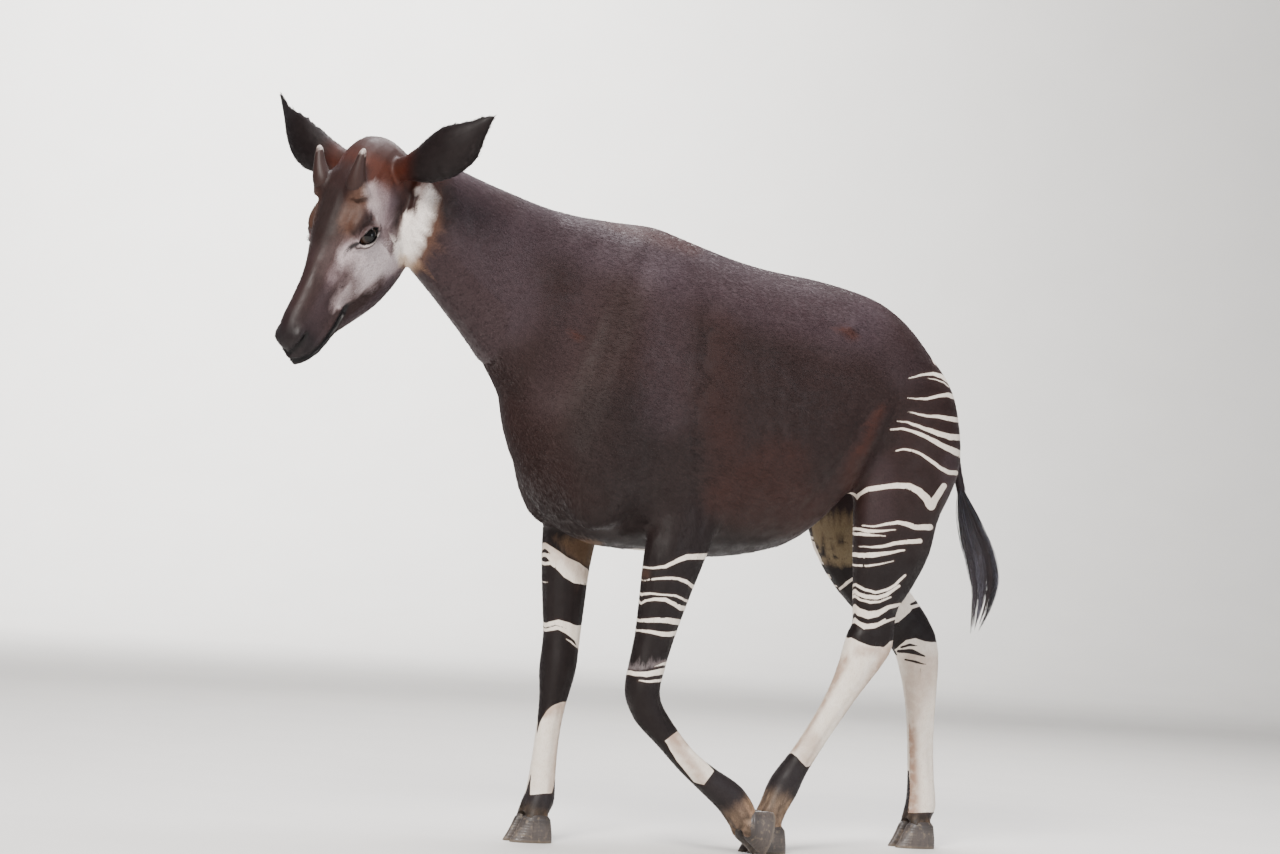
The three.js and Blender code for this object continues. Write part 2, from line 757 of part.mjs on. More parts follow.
function nearest(seed) {
  let best = null;
  let least = Infinity;
  for (const piece of parted) {
    const { vertProperties } = piece.getMesh();
    for (let i = 0; i < vertProperties.length; i += 3) {
      const distance = Math.hypot(
        vertProperties[i] - seed.x,
        vertProperties[i + 1] - seed.y,
        vertProperties[i + 2] - seed.z,
      );
      if (distance < least) {
        least = distance;
        best = piece;
      }
    }
  }
  return best;
}

// Colours of the parts
const DARK_COAT = { color: 0x2b1d1a, roughness: 0.6, metalness: 0 };
const PALE_COAT = { color: 0xd8cbbb, roughness: 0.7, metalness: 0 };
const BARE_HORN = { color: 0x3a2a24, roughness: 0.45, metalness: 0 };
const HOOF_HORN = { color: 0x4a4340, roughness: 0.5, metalness: 0 };
const EYE_GLOSS = { color: 0x0b0808, roughness: 0.08, metalness: 0 };

function finishOf(name) {
  if (name.startsWith('eye')) return EYE_GLOSS;
  if (name.startsWith('ossicone')) return BARE_HORN;
  if (name.includes('hoof')) return HOOF_HORN;
  if (name.includes('cannon')) return PALE_COAT;
  return DARK_COAT;
}

function meshOf(name, piece) {
  const { vertProperties, triVerts } = piece.getMesh();
  const geometry = new THREE.BufferGeometry();
  geometry.setAttribute('position', new THREE.BufferAttribute(new Float32Array(vertProperties), 3));
  geometry.setIndex(new THREE.BufferAttribute(new Uint32Array(triVerts), 1));
  geometry.computeVertexNormals();
  const mesh = new THREE.Mesh(geometry, new THREE.MeshStandardMaterial(finishOf(name)));
  mesh.name = name;
  return mesh;
}

const okapi = new THREE.Group();
for (const [name, seed] of Object.entries(SEEDS)) okapi.add(meshOf(name, nearest(seed)));
for (const { name, piece } of eyeballs) okapi.add(meshOf(name, piece));

// The origin goes to the middle of the whole, on the floor
const box = new THREE.Box3().setFromObject(okapi);
const middle = box.getCenter(vector(0, 0, 0));
okapi.position.set(-middle.x, -middle.y, -box.min.z);

export default okapi;
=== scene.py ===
"""An okapi at life size, walking: its skin, coat, eyes, ossicones, hooves and tail, on a pale floor.

Lengths are metres. Places on the body are given in the body's own frame: X = 0 under the withers,
Y = 0 the middle plane, the head towards -X and the animal's left side towards -Y.
"""

import json
import math

import bmesh
import bpy
import numpy as np
from bpy.props import FloatProperty, FloatVectorProperty, IntProperty, PointerProperty
from mathutils import Matrix, Vector

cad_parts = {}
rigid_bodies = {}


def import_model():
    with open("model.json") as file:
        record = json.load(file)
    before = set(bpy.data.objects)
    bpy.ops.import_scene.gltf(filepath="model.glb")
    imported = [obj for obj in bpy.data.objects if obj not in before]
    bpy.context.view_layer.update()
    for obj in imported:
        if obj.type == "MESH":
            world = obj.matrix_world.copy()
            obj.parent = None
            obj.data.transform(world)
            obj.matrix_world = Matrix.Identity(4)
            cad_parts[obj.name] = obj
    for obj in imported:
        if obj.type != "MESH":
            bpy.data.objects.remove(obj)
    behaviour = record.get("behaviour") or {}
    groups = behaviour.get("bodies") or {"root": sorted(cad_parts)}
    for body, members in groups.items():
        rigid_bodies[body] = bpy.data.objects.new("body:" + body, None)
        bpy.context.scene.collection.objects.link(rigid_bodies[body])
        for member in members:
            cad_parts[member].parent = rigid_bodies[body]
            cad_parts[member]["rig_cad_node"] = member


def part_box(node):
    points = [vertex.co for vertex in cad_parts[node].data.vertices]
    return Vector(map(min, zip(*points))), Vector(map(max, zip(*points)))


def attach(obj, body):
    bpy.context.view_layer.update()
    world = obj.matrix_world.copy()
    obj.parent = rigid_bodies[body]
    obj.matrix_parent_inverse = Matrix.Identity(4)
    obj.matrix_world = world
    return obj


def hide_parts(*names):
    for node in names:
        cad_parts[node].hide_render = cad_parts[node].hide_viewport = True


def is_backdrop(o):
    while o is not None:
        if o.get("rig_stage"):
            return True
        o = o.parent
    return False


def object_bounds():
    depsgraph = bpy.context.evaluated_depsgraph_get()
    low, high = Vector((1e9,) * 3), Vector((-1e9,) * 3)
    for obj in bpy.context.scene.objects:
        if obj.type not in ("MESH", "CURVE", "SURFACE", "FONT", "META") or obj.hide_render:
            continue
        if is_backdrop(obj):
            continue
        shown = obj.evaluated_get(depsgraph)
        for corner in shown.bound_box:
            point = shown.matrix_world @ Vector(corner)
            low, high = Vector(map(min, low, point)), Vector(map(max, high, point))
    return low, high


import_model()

bl_info = {
    "name": "Okapi",
    "version": (1, 0, 0),
    "blender": (4, 5, 0),
    "location": "View3D > Sidebar > Okapi",
    "description": "Builds an okapi's skin, coat, eyes, ossicones, hooves and tail round its solids",
    "category": "Object",
}

# The view: a point in the photograph and a place on the body are joined by these
PHOTO_WIDTH = 1280
PHOTO_HEIGHT = 854
FOCAL_PIXELS = 4839.03
CAMERA_TURN = math.radians(-32)
CAMERA_ROLL = math.radians(4)
CAMERA_DISTANCE = 12.0
CAMERA_AIM = np.array((0.0417, 0.0, 1.0438))
PIXEL = CAMERA_DISTANCE / FOCAL_PIXELS
SENSOR = 36.0

# The head's own frame: x to the nose, y to the left, z to the forehead
HEAD_ORIGIN = np.array((-0.865, -0.061, 1.450))
HEAD_FORWARD = np.array((-0.5568, -0.1649, -0.8141))
HEAD_LEFT = np.array((0.3391, -0.9398, -0.0415))
HEAD_TOP = np.array((-0.7583, -0.2992, 0.5792))
HEAD_AXES = np.array((HEAD_FORWARD, HEAD_LEFT, HEAD_TOP))

EYE_PLACE = np.array((-0.003, 0.077, 0.001))
EYE_OUTWARD = np.array((0.2, 0.94, 0.26))
EYE_ALONG = np.array((0.92, -0.22, 0.3))

# Legs in millimetres: x, y, z, reach to the front, reach to the back, half width
RIGHT_FORE = (
    (-45, 118, 900, 105, 95, 62), (-62, 122, 800, 80, 78, 58), (-74, 118, 700, 66, 66, 54),
    (-76, 114, 600, 56, 58, 47), (-76, 112, 510, 48, 50, 42), (-80, 109, 415, 49, 42, 43),
    (-99, 105, 300, 31, 34, 29), (-107, 103, 220, 31, 35, 28), (-115, 100, 110, 38, 40, 39),
    (-134, 100, 50, 36, 30, 38),
)
LEFT_FORE = (
    (134, -122, 920, 108, 96, 60), (108, -132, 820, 96, 90, 58), (80, -134, 720, 82, 80, 55),
    (60, -134, 620, 67, 63, 48), (40, -132, 520, 51, 51, 42), (22, -131, 398, 47, 42, 43),
    (86, -147, 290, 32, 35, 29), (141, -160, 232, 30, 33, 28), (262, -179, 146, 40, 42, 38),
    (320, -188, 66, 34, 32, 36),
)
LEFT_HIND = (
    (748, -98, 1230, 112, 105, 66), (772, -116, 1080, 162, 152, 88), (746, -130, 900, 136, 128, 78),
    (736, -130, 800, 121, 117, 66), (720, -126, 716, 96, 93, 54), (702, -119, 592, 58, 62, 42),
    (698, -117, 545, 70, 66, 43), (645, -106, 428, 44, 40, 36), (548, -89, 265, 31, 33, 29),
    (488, -80, 165, 40, 42, 39), (442, -80, 50, 36, 30, 38),
)
RIGHT_HIND = (
    (748, 98, 1230, 112, 105, 66), (776, 116, 1080, 160, 150, 88), (768, 134, 900, 134, 136, 78),
    (786, 138, 800, 108, 116, 66), (838, 136, 710, 90, 94, 54), (962, 126, 582, 64, 72, 42),
    (1008, 122, 530, 64, 64, 43), (1030, 117, 410, 47, 48, 37), (1042, 113, 240, 36, 38, 30),
    (1052, 110, 115, 40, 42, 40), (1034, 110, 50, 36, 30, 38),
)
LEGS = {
    "right_fore": (RIGHT_FORE, RIGHT_FORE),
    "left_fore": (LEFT_FORE, LEFT_FORE),
    "left_hind": (LEFT_HIND, LEFT_HIND),
    "right_hind": (RIGHT_HIND, LEFT_HIND),
}

# The left ossicone's middle line in the head's own frame, and its rings: share of its length and radius
OSSICONE_ROOT = (-0.068, 0.045, 0.062)
OSSICONE_BEND = (-0.098, 0.058, 0.108)
OSSICONE_END = (-0.150, 0.071, 0.1441)
OSSICONE_FOOT = (0.16, 0.027)
OSSICONE_RINGS = (
    (0.12, 0.0290), (0.28, 0.0242), (0.45, 0.0200), (0.6, 0.0163), (0.75, 0.0133), (0.86, 0.0112),
    (0.94, 0.0086), (0.985, 0.0055), (1.0, 0.0015),
)
OSSICONE_SIDES = 32

# The tail: the middle line of its fleshy dock, and that of its tuft
DOCK_LINE = ((0.965, 0, 1.165), (0.992, 0, 1.090), (1.018, 0.002, 0.985), (1.052, 0.003, 0.895))
TUFT_LINE = (
    (1.026, 0.003, 0.958), (1.050, 0.003, 0.900), (1.082, 0.003, 0.830), (1.116, 0.002, 0.760),
    (1.132, 0, 0.690), (1.118, 0, 0.610), (1.099, 0, 0.552),
)
# Share of the tuft's length, and its half width there
TUFT_SHAPE = (
    (0, 0.004), (0.1, 0.009), (0.2, 0.021), (0.42, 0.045), (0.6, 0.050), (0.8, 0.034), (1.0, 0.009),
)
TAIL_LOCKS = 26

# Feet: the middle of the sole, how far the toes point down and how far they turn out, in degrees
FEET = {
    "right_fore": ((-0.136, 0.100, 0.0), 0, -4),
    "left_fore": ((0.366, -0.188, 0.064), 80, 3),
    "left_hind": ((0.442, -0.080, 0.0), 0, 4),
    "right_hind": ((1.036, 0.110, 0.0), 0, -4),
}
TOE_APART = 0.0245
HOOF_EDGE = 0.002
HOOF_TOP = 0.058
HOOF_RINGS = 900.0
HOOF_SIDES = 48
# Height over the sole, reach to the toe, reach to the heel, half width
TOE_ROWS = (
    (0.0, 0.0615, 0.0485, 0.0205), (0.002, 0.0632, 0.0500, 0.0222), (0.022, 0.0505, 0.0488, 0.0228),
    (0.040, 0.0410, 0.0460, 0.0222), (0.058, 0.0330, 0.0425, 0.0215), (0.066, 0.0250, 0.0360, 0.0180),
    (0.074, 0.0120, 0.0240, 0.0110),
)

# White stripes in pixels of the photograph: places along each, and its half width at start, middle and end
HIND_STRIPES = (
    (((909, 378.4), (922.3, 374.7), (932.6, 373.6), (941.4, 376.2), (947.2, 380.6), (953, 387)),
      (0.6, 1.9, 1.6)),
    (((928, 378.4), (937, 379.9), (944.3, 382.8), (949, 387)), (0.3, 0.6, 0.5)),
    (((932.4, 359), (935.6, 365)), (0.6, 1.0, 0.4)),
    (((907.6, 397.8), (917.9, 398.9), (928.2, 398.7), (938.4, 396), (947.2, 394.6), (956, 397.5),
      (962, 406)), (0.5, 1.6, 3.0)),
    (((907.6, 411.9), (917.9, 413.9), (926.7, 416.1), (938.4, 416.6), (950.2, 418.8), (966, 421.4)),
      (0.5, 1.5, 2.7)),
    (((897.4, 421.2), (907.6, 422.4), (917.9, 426.1), (928.2, 429.8), (938.4, 433.4), (950.2, 437),
      (966, 437.6)), (0.5, 2.0, 3.3)),
    (((890.8, 429.5), (901.8, 428.6), (910.6, 430.5), (920.8, 434.4), (931.1, 439.3), (941.4, 445.2),
      (951.6, 450), (962, 455)), (0.8, 1.9, 3.4)),
    (((894.4, 451), (903.2, 449.1), (912, 450.3), (922.3, 454.7), (932.6, 462), (941.4, 468.6),
      (948.7, 472.3), (956, 473)), (0.6, 1.5, 2.3)),
    (((853.3, 502.4), (859.2, 494.3), (868, 489.2), (882.7, 487), (897.4, 485.5), (909.1, 486.2),
      (919.4, 491.4), (926.7, 498.7), (929.6, 504)), (1.6, 2.7, 4.2)),
    (((931, 506), (935.5, 498.7), (944, 486)), (4.2, 3.4, 2.8)),
    (((862.1, 525.8), (873.9, 526.3), (885.6, 524.4), (897.4, 522.5), (906.2, 523.9), (915, 527.3),
      (930, 527.3)), (0.6, 1.7, 3.0)),
    (((846, 524.5), (856.3, 528.8), (868, 531), (882.7, 531), (895.9, 529.5)), (1.1, 1.6, 0.5)),
    (((845, 534.6), (859.2, 533.9), (870.9, 534.9), (885.6, 536.1)), (1.3, 1.5, 0.4)),
    (((859.2, 546.4), (870.9, 547.1), (882.7, 546.4), (894.4, 543.4), (904.7, 542), (920, 541)),
      (0.5, 1.7, 2.2)),
    (((845, 552.6), (859, 555.2), (872, 555.2), (886.6, 553.2), (904.5, 550)), (1.7, 2.5, 0.9)),
    (((846, 561.4), (855.8, 565.3), (867, 566), (881, 563.9), (894, 561)), (0.8, 1.0, 0.4)),
    (((848, 578.6), (855.8, 584.9), (864.2, 589.4), (875.4, 592.6), (886.6, 589.8), (895.1, 584.9),
      (905, 575.5)), (1.2, 1.4, 1.2)),
    (((849, 586), (858.6, 594), (867, 596.8), (876.8, 597.5), (886.6, 594.7), (899, 586)), (1.6, 2.0, 1.3)),
    (((849, 591.4), (860, 599.6), (869.8, 602.4), (879.6, 601.7), (890.5, 597)), (1.0, 1.3, 0.8)),
    (((850, 601.8), (858.6, 610.2), (868.4, 613.7), (878.2, 613), (888, 607.3), (900, 604.4)),
      (1.7, 2.6, 1.6)),
    (((852, 607.6), (858.6, 614.4), (868.4, 617.2), (878.2, 615), (886, 610)), (1.4, 1.7, 1.3)),
    (((852, 616), (858.6, 622.8), (867, 625.8), (878.2, 624), (885, 619.6)), (1.2, 1.5, 1.0)),
    (((854, 621.6), (864.2, 627.9), (875.4, 626.6), (886.6, 621.4), (900, 616.4)), (1.0, 1.4, 1.0)),
)
HIND_CANNON = (
    (836, 640), (851, 637.5), (859, 641.5), (870, 646), (884, 647), (890, 641.5), (902, 637), (910, 650),
    (885, 688), (850, 735), (824, 764), (806, 767), (797, 757), (788, 750), (798, 730), (836, 672),
)
# The inner side of the hind leg that stands behind
FAR_HIND_STRIPES = ((((856, 577), (847, 583), (837, 591)), (1.6, 1.5, 1.2)),)
FAR_HIND_PATCHES = (
    (
        (900.7, 579), (907, 581), (911.5, 587.2), (906.6, 590.4), (909, 592), (915.5, 591.4),
        (918.8, 598.6),
        (909.6, 604), (911, 605.6), (921.5, 602.4), (921, 606), (912, 609), (909, 613), (899, 621.6),
        (892, 624),
        (892, 585),
    ),
    (
        (893, 651), (901, 644.5), (906.3, 640.2), (915.4, 638.4), (926, 641.6), (937, 642.4),
        (952, 636), (952, 700),
        (946, 760), (941, 812), (906, 813), (902, 790), (900.5, 760), (899, 700), (892, 676), (888, 660),
    ),
)
# The inner thigh of that leg, whose white hair is drawn khaki as painted shade
FAR_THIGH = ((796, 520), (856, 512), (856, 567), (836, 566), (822, 563), (806, 561))
FAR_HIND_DARK = (
    (((901, 647.4), (910, 644.8), (917.5, 645.8)), (1.0, 1.5, 0.3)),
    (((898, 651.4), (912, 651.4), (927, 657)), (1.6, 2.4, 0.6)),
    (((905, 659.5), (926, 664.5)), (0.9, 1.2, 0.4)),
)
FAR_THIGH_DARK = (
    (((806, 546.3), (832, 548.6)), (0.8, 1.8, 0.6)),
    (((810, 552.8), (829, 556.4), (846, 558)), (1.6, 2.4, 0.5)),
    (((838, 541), (850, 542)), (0.5, 1.4, 0.8)),
    (((820, 537), (836, 538)), (0.3, 1.2, 0.3)),
)
LEFT_FORE_STRIPES = (
    (((641, 567), (653.1, 568.2), (665.3, 566.7), (676, 561.3), (686.7, 557), (707, 556.4)),
      (0.8, 1.7, 3.0)),
    (((643.9, 580.5), (654.6, 578.9), (666.8, 577.9), (679.1, 578.9), (686.7, 582), (698, 590.4)),
      (0.6, 1.5, 1.9)),
    (((634, 600), (642.4, 594.4), (650, 593.5), (662.3, 594.7), (676, 595.8), (682.2, 598.8),
      (692, 603.6)), (1.6, 0.9, 1.3)),
    (((640.1, 604.2), (645.4, 600.6), (654.6, 599.3), (665.3, 599.6), (673, 603.4), (680.6, 608),
      (690, 609)), (0.8, 1.8, 2.6)),
    (((635, 620.6), (646.9, 620.6), (660.7, 619.8), (671.4, 621), (686, 623.2)), (1.2, 2.6, 3.0)),
    (((636, 630.2), (648.5, 631.4), (660.7, 634), (669.9, 634.5), (681, 632)), (0.9, 2.1, 2.5)),
    (((624, 671), (634.7, 673.8), (646.9, 674.3), (671, 670)), (2.2, 2.3, 3.4)),
    (((638, 680.7), (650, 681.4), (669, 679.6)), (0.5, 1.1, 1.8)),
    (((655, 666.4), (671, 662)), (0.3, 1.2, 2.2)),
)
LEFT_FORE_CANNON = (
    (665, 741), (678, 730.5), (697, 752), (714, 771), (704, 785), (694, 782), (676, 760),
)
RIGHT_FORE_STRIPES = (
    (((537, 582.6), (547.5, 582)), (1.0, 0.9, 0.3)),
    (((566, 638.6), (571, 642), (577, 647.6)), (0.3, 0.7, 0.6)),
)
RIGHT_FORE_PATCHES = (
    (
        (534, 536), (546, 543), (558, 550.6), (569, 558.3), (579.6, 563), (587.2, 569), (592, 576),
        (592, 584.6),
        (585, 585), (573.5, 582.8), (564.3, 577.4), (556.6, 569), (550.5, 564.6), (538, 566), (538, 562.4),
        (550.5, 561.3), (546, 556.9), (536, 554.6), (536, 551.6), (547.5, 553.6), (551, 553.8),
        (544.4, 548),
        (535, 543),
    ),
    (
        (538, 625.6), (550, 621.6), (558.2, 619.8), (569, 622.6), (576.5, 625.6), (588, 624.6), (584, 652),
        (579, 651.6), (575, 641), (565.8, 633.4), (558, 629.6), (538, 633),
    ),
    (
        (545.9, 711.5), (552, 706), (561.2, 702), (572, 701), (562, 750), (552, 793), (530, 795),
        (531.5, 765),
        (535, 742), (540, 722),
    ),
)
RIGHT_FORE_DARK = (
    (((538, 628.6), (546, 627.9), (556.6, 625), (566, 628.4)), (0.6, 0.7, 0.3)),
    (((539, 558.6), (548, 559)), (0.6, 0.5, 0.2)),
)
# For each leg: white stripes, white patches and dark marks within them
MARKS = {
    "right_fore": (RIGHT_FORE_STRIPES, RIGHT_FORE_PATCHES, RIGHT_FORE_DARK),
    "left_fore": (LEFT_FORE_STRIPES, (LEFT_FORE_CANNON,), ()),
    "left_hind": (HIND_STRIPES, (HIND_CANNON,), ()),
    "right_hind": (HIND_STRIPES, (HIND_CANNON,), ()),
    "far_hind": (FAR_HIND_STRIPES, FAR_HIND_PATCHES, FAR_HIND_DARK),
}

# Colours of the coat, as they look in even light, except the khaki, which is white hair in painted shade; on
# the body the dark also serves for painted shade and the violet for painted sheen highlights
UMBER = (0.150, 0.088, 0.080)
DARK = (0.085, 0.058, 0.058)
RUSSET = (0.235, 0.110, 0.078)
CHESTNUT = (0.285, 0.130, 0.080)
VIOLET = (0.24, 0.19, 0.21)
MAUVE = (0.50, 0.44, 0.45)
SILVER = (0.72, 0.675, 0.68)
CHALK = (0.93, 0.90, 0.87)
TAN = (0.60, 0.48, 0.36)
# painted shade: white hair as it looks in shade, in khaki
WHITE_IN_SHADE = (0.52, 0.46, 0.35)
FAWN = (0.42, 0.30, 0.23)
SOOT = (0.045, 0.035, 0.038)

# Soft areas of colour on the face: places in the photograph, reach, softness, colour, strength; one dark line
# is painted shadow under the edge of the jaw
FACE_PAINT = (
    (((330, 150), (345, 175), (350, 200)), 34, 26, UMBER, 1.0),
    (((352, 150), (380, 146), (405, 152), (425, 165)), 17, 14, RUSSET, 0.95),
    (((374, 168), (390, 182), (408, 177)), 8, 11, CHESTNUT, 0.7),
    (((408, 172), (425, 160)), 8, 9, CHESTNUT, 0.7),
    (((352, 176), (338, 196), (328, 222)), 9, 10, UMBER, 0.95),
    (((362, 196), (350, 214), (338, 236)), 5, 12, FAWN, 0.5),
    (((300, 240), (300, 300), (285, 340)), 22, 16, UMBER, 0.9),
    (((318, 270), (310, 300), (300, 330)), 16, 18, VIOLET, 0.55),
    (((342, 262), (362, 262), (384, 252)), 17, 16, MAUVE, 0.85),
    (((346, 256), (358, 254), (374, 252)), 5, 12, SILVER, 0.9),
    (((360, 272), (376, 264), (388, 250)), 6, 10, SILVER, 0.8),
    (((370, 190), (375, 206), (382, 219)), 3, 8, SILVER, 0.75),
    (((382, 188), (388, 205), (386, 222)), 3, 7, MAUVE, 0.9),
    (((395, 190), (393, 208), (391, 218)), 2.5, 5, VIOLET, 0.6),
    (((396, 240), (392, 262), (384, 278)), 4, 7, SILVER, 0.65),
    (((408, 222), (405, 240), (402, 256)), 6, 5, CHALK, 1.0),
    (((420, 192), (428, 194), (431, 206)), 4, 5, CHALK, 1.0),
    (((426, 205), (421, 225), (414, 248), (410, 260)), 6, 5, CHALK, 1.0),
    (((437, 198), (436, 225), (426, 250), (416, 266)), 1.5, 8, FAWN, 0.6),
    (((402, 260), (410, 271), (417, 267)), 2, 6, TAN, 0.5),
    # painted shadow under the edge of the jaw
    (((404, 192), (400, 214), (397, 236), (391, 252)), 0.8, 4.5, UMBER, 0.6),
    (((338, 302), (352, 291), (370, 283), (386, 272)), 4.0, 6, SILVER, 0.8),
    (((382, 281), (366, 297), (348, 307)), 2.0, 5, UMBER, 0.7),
    (((392, 282), (380, 300), (366, 312), (346, 326)), 4, 5, VIOLET, 0.7),
    (((350, 271), (340, 286), (332, 300)), 1.5, 8, UMBER, 0.35),
    (((334, 268), (344, 276), (356, 284)), 1.0, 5, UMBER, 0.30),
    (((334, 236), (318, 270), (304, 300), (294, 322)), 6, 9, UMBER, 0.75),
    (((292, 350), (300, 358), (285, 352)), 16, 12, SOOT, 0.55),
    (((356, 245), (350, 249)), 1.0, 3, SOOT, 0.8),
)
LIP_LINE = ((346, 306), (343, 313), (339, 320), (334, 329), (322, 346), (312, 355), (299, 360), (284, 360))
NOSTRIL_LINE = ((289, 353), (295, 349), (301, 343), (307, 334))

# Hollows and swellings of the skin: places in the photograph, reach in pixels, and height in millimetres
HEAD_FORMS = (
    (LIP_LINE, 1.5, -5.0),
    (((350, 300), (346, 310), (340, 326), (327, 347), (315, 357)), 2.6, 1.8),
    (((337, 308), (332, 320), (322, 336)), 3.0, 1.6),
    (NOSTRIL_LINE, 1.5, -9.0),
    (((287, 347), (294, 341), (301, 333)), 2.6, 2.4),
    (((300, 352), (306, 344), (311, 335)), 2.0, 1.6),
    (((328, 309), (334, 299), (345, 289), (362, 280), (382, 270)), 1.8, -3.2),
    (((333, 313), (345, 301), (362, 292), (378, 282)), 3.0, 2.2),
    (((332, 264), (342, 269), (352, 275)), 1.6, -1.5),
    (((369, 188), (378, 207), (391, 221), (397, 228)), 1.3, -1.8),
    (((405, 192), (403, 210), (398, 228), (390, 252)), 3.0, -3.6),
    (((394, 196), (391, 212)), 5.0, 3.4),
    (((380, 258), (392, 240), (398, 225)), 8.0, 2.6),
    (((345, 230), (352, 236), (362, 246)), 3.5, -1.8),
    (((334, 238), (324, 262), (314, 290)), 5.0, -2.2),
    (((352, 212), (346, 226)), 4.5, 2.2),
    (((421, 262), (418, 240), (420, 214)), 1.6, -2.4),
)
BODY_FORMS = (
    (((712, 300), (706, 380), (700, 450), (703, 520)), 7.0, -6.0),
    (((688, 290), (682, 370), (680, 450)), 13.0, 3.5),
    (((642, 232), (618, 300), (592, 372), (570, 432)), 11.0, 4.5),
    (((600, 240), (580, 300), (556, 360)), 12.0, -3.5),
    (((548, 400), (560, 440), (600, 480)), 16.0, 5.0),
    (((640, 520), (664, 535), (692, 538)), 2.6, -4.5),
    (((652, 546), (680, 549), (700, 545)), 2.2, -3.0),
    (((615, 505), (628, 522), (634, 545)), 3.0, -4.0),
    (((700, 455), (706, 500), (700, 540)), 3.5, -3.5),
    (((846, 326), (852, 332)), 11.0, 7.0),
    (((888, 405), (872, 440), (850, 482), (818, 522)), 5.0, 6.0),
    (((872, 400), (854, 440), (832, 480), (800, 520)), 6.0, -6.0),
    (((815, 345), (808, 385)), 24.0, -6.0),
    (((905, 330), (915, 380), (918, 440)), 12.0, 3.0),
    (((884, 350), (896, 400), (902, 450)), 6.0, -3.0),
    (((738, 300), (730, 390), (742, 480)), 4.0, 1.2),
    (((756, 305), (748, 395), (760, 480)), 4.0, 1.2),
    (((774, 310), (766, 400), (778, 475)), 4.0, 1.2),
    (((792, 315), (786, 400), (796, 465)), 4.0, 1.0),
    (((476, 184), (483, 198), (488, 220)), 1.1, -1.6),
    (((493, 188), (501, 206), (507, 232)), 1.1, -1.6),
    (((455, 322), (470, 336), (486, 348), (500, 366)), 1.8, -2.6),
    (((430, 278), (470, 330), (515, 400), (528, 450)), 7.0, -3.5),
    (((520, 200), (500, 260), (500, 330)), 9.0, -2.0),
)
# Soft areas of colour on the body, in the same way; the dark ones on the ribs and under the chest are painted
# shade, and the violet ones along the back, neck, shoulder, rump and thigh are painted sheen highlights
BODY_PAINT = (
    (((735, 350), (770, 410), (800, 470)), 40, 40, RUSSET, 0.30),
    # painted shade on the ribs and under the chest
    (((735, 350), (770, 400), (790, 440)), 30, 50, DARK, 0.45),
    (((620, 440), (670, 480), (730, 530)), 36, 40, DARK, 0.40),
    # painted sheen highlights along the back, the neck, the shoulder, the rump and the thigh
    (((540, 225), (640, 248), (760, 296), (850, 322)), 14, 40, VIOLET, 0.70),
    (((450, 200), (480, 250), (500, 300)), 26, 40, VIOLET, 0.70),
    (((660, 270), (668, 340), (664, 410)), 10, 30, VIOLET, 0.50),
    (((600, 260), (570, 330), (545, 400)), 8, 26, VIOLET, 0.30),
    (((870, 320), (905, 370)), 8, 26, VIOLET, 0.50),
    (((882, 470), (878, 520)), 6, 16, VIOLET, 0.45),
    (((780, 470), (740, 500), (790, 505)), 16, 30, RUSSET, 0.40),
    (((722, 330), (724, 430), (716, 500)), 4, 22, RUSSET, 0.20),
    (((880, 408), (868, 436), (862, 450)), 1.2, 6, CHESTNUT, 0.50),
    (((862, 450), (846, 484)), 2.0, 9, CHESTNUT, 0.35),
    (((570, 196), (620, 224), (690, 246)), 3, 12, RUSSET, 0.35),
    (((844, 328), (852, 334)), 2.0, 5, CHESTNUT, 0.5),
    (((575, 337), (580, 339)), 2.0, 3.5, CHESTNUT, 0.40),
    (((960, 470), (966, 500), (975, 540)), 16, 10, VIOLET, 0.6),
)
# Dust and tan on the white of the legs, in the same way: partly dust, partly painted shade along the legs'
# rear edges
WHITE_DUST_AND_SHADE = {
    "left_hind": (
        (((846, 660), (820, 706), (794, 748)), 1.2, 5, 0.8), (((890, 652), (868, 690),
          (846, 724)), 3, 8, 0.75),
        (((858, 650), (880, 652), (896, 645)), 1.5, 6, 0.6), (((812, 740), (806, 762)), 4, 10, 0.45),
    ),
    "right_hind": (
        (((906, 730), (909, 815)), 6, 9, 0.95), (((930, 668), (912, 690), (906, 720)), 8, 14, 0.45),
        (((915, 662), (925, 672)), 6, 10, 0.5),
    ),
    "left_fore": ((((672, 742), (690, 762), (704, 782)), 1.5, 6, 0.6), (((674, 737),
    (684, 742)), 4, 6, 0.8)),
    "right_fore": (
        (((566, 705), (560, 740), (552, 790)), 1.5, 6, 0.6), (((545, 712), (566, 703)), 3, 6, 0.7),
        (((545, 545), (565, 560), (585, 575)), 3, 6, 0.45),
    ),
}

# How deep the skin lies under the coat, and the longest edge that may cross the rim of a mark
COAT_DEPTH = 0.0014
MARK_GRAIN = 0.0044

# Each round of smoothing that keeps a shape's volume swells it again by this share
KEEPS_VOLUME = 0.62

# The opening between the lids: half its length, and its height over and under the middle
EYE_REACH = 0.030
LID_UPPER = 0.0150
LID_LOWER = 0.0125
LID_BALL = 0.024
LID_CORNER = 0.0085

# How deep a tuft is rooted, and how wide its patch of the unwrap is
ROOT_DEPTH = 0.0008
TUFT_PATCH = 0.003

# The three sides of a hair, in radians
THREE_WAYS = (0, 2.09, 4.19)

# The farthest that a distance to a mark is counted, in metres
FAR_FROM_MARKS = 0.05
NOT_SKIN = ("eye_left", "eye_right", "ossicone_left", "ossicone_right", "tail_tuft")


def smooth(x):
    """A soft step from 0 to 1."""
    x = np.clip(x, 0, 1)
    return x * x * (3 - 2 * x)


def unit(v):
    """Directions of length 1."""
    v = np.asarray(v, float)
    return v / np.maximum(np.linalg.norm(v, axis=-1, keepdims=True), 1e-12)


def frame_shift():
    """From the body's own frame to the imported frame, by the left eye."""
    low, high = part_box("eye_left")
    own = from_head(EYE_PLACE[None])[0]
    return np.array((low + high) / 2) - own


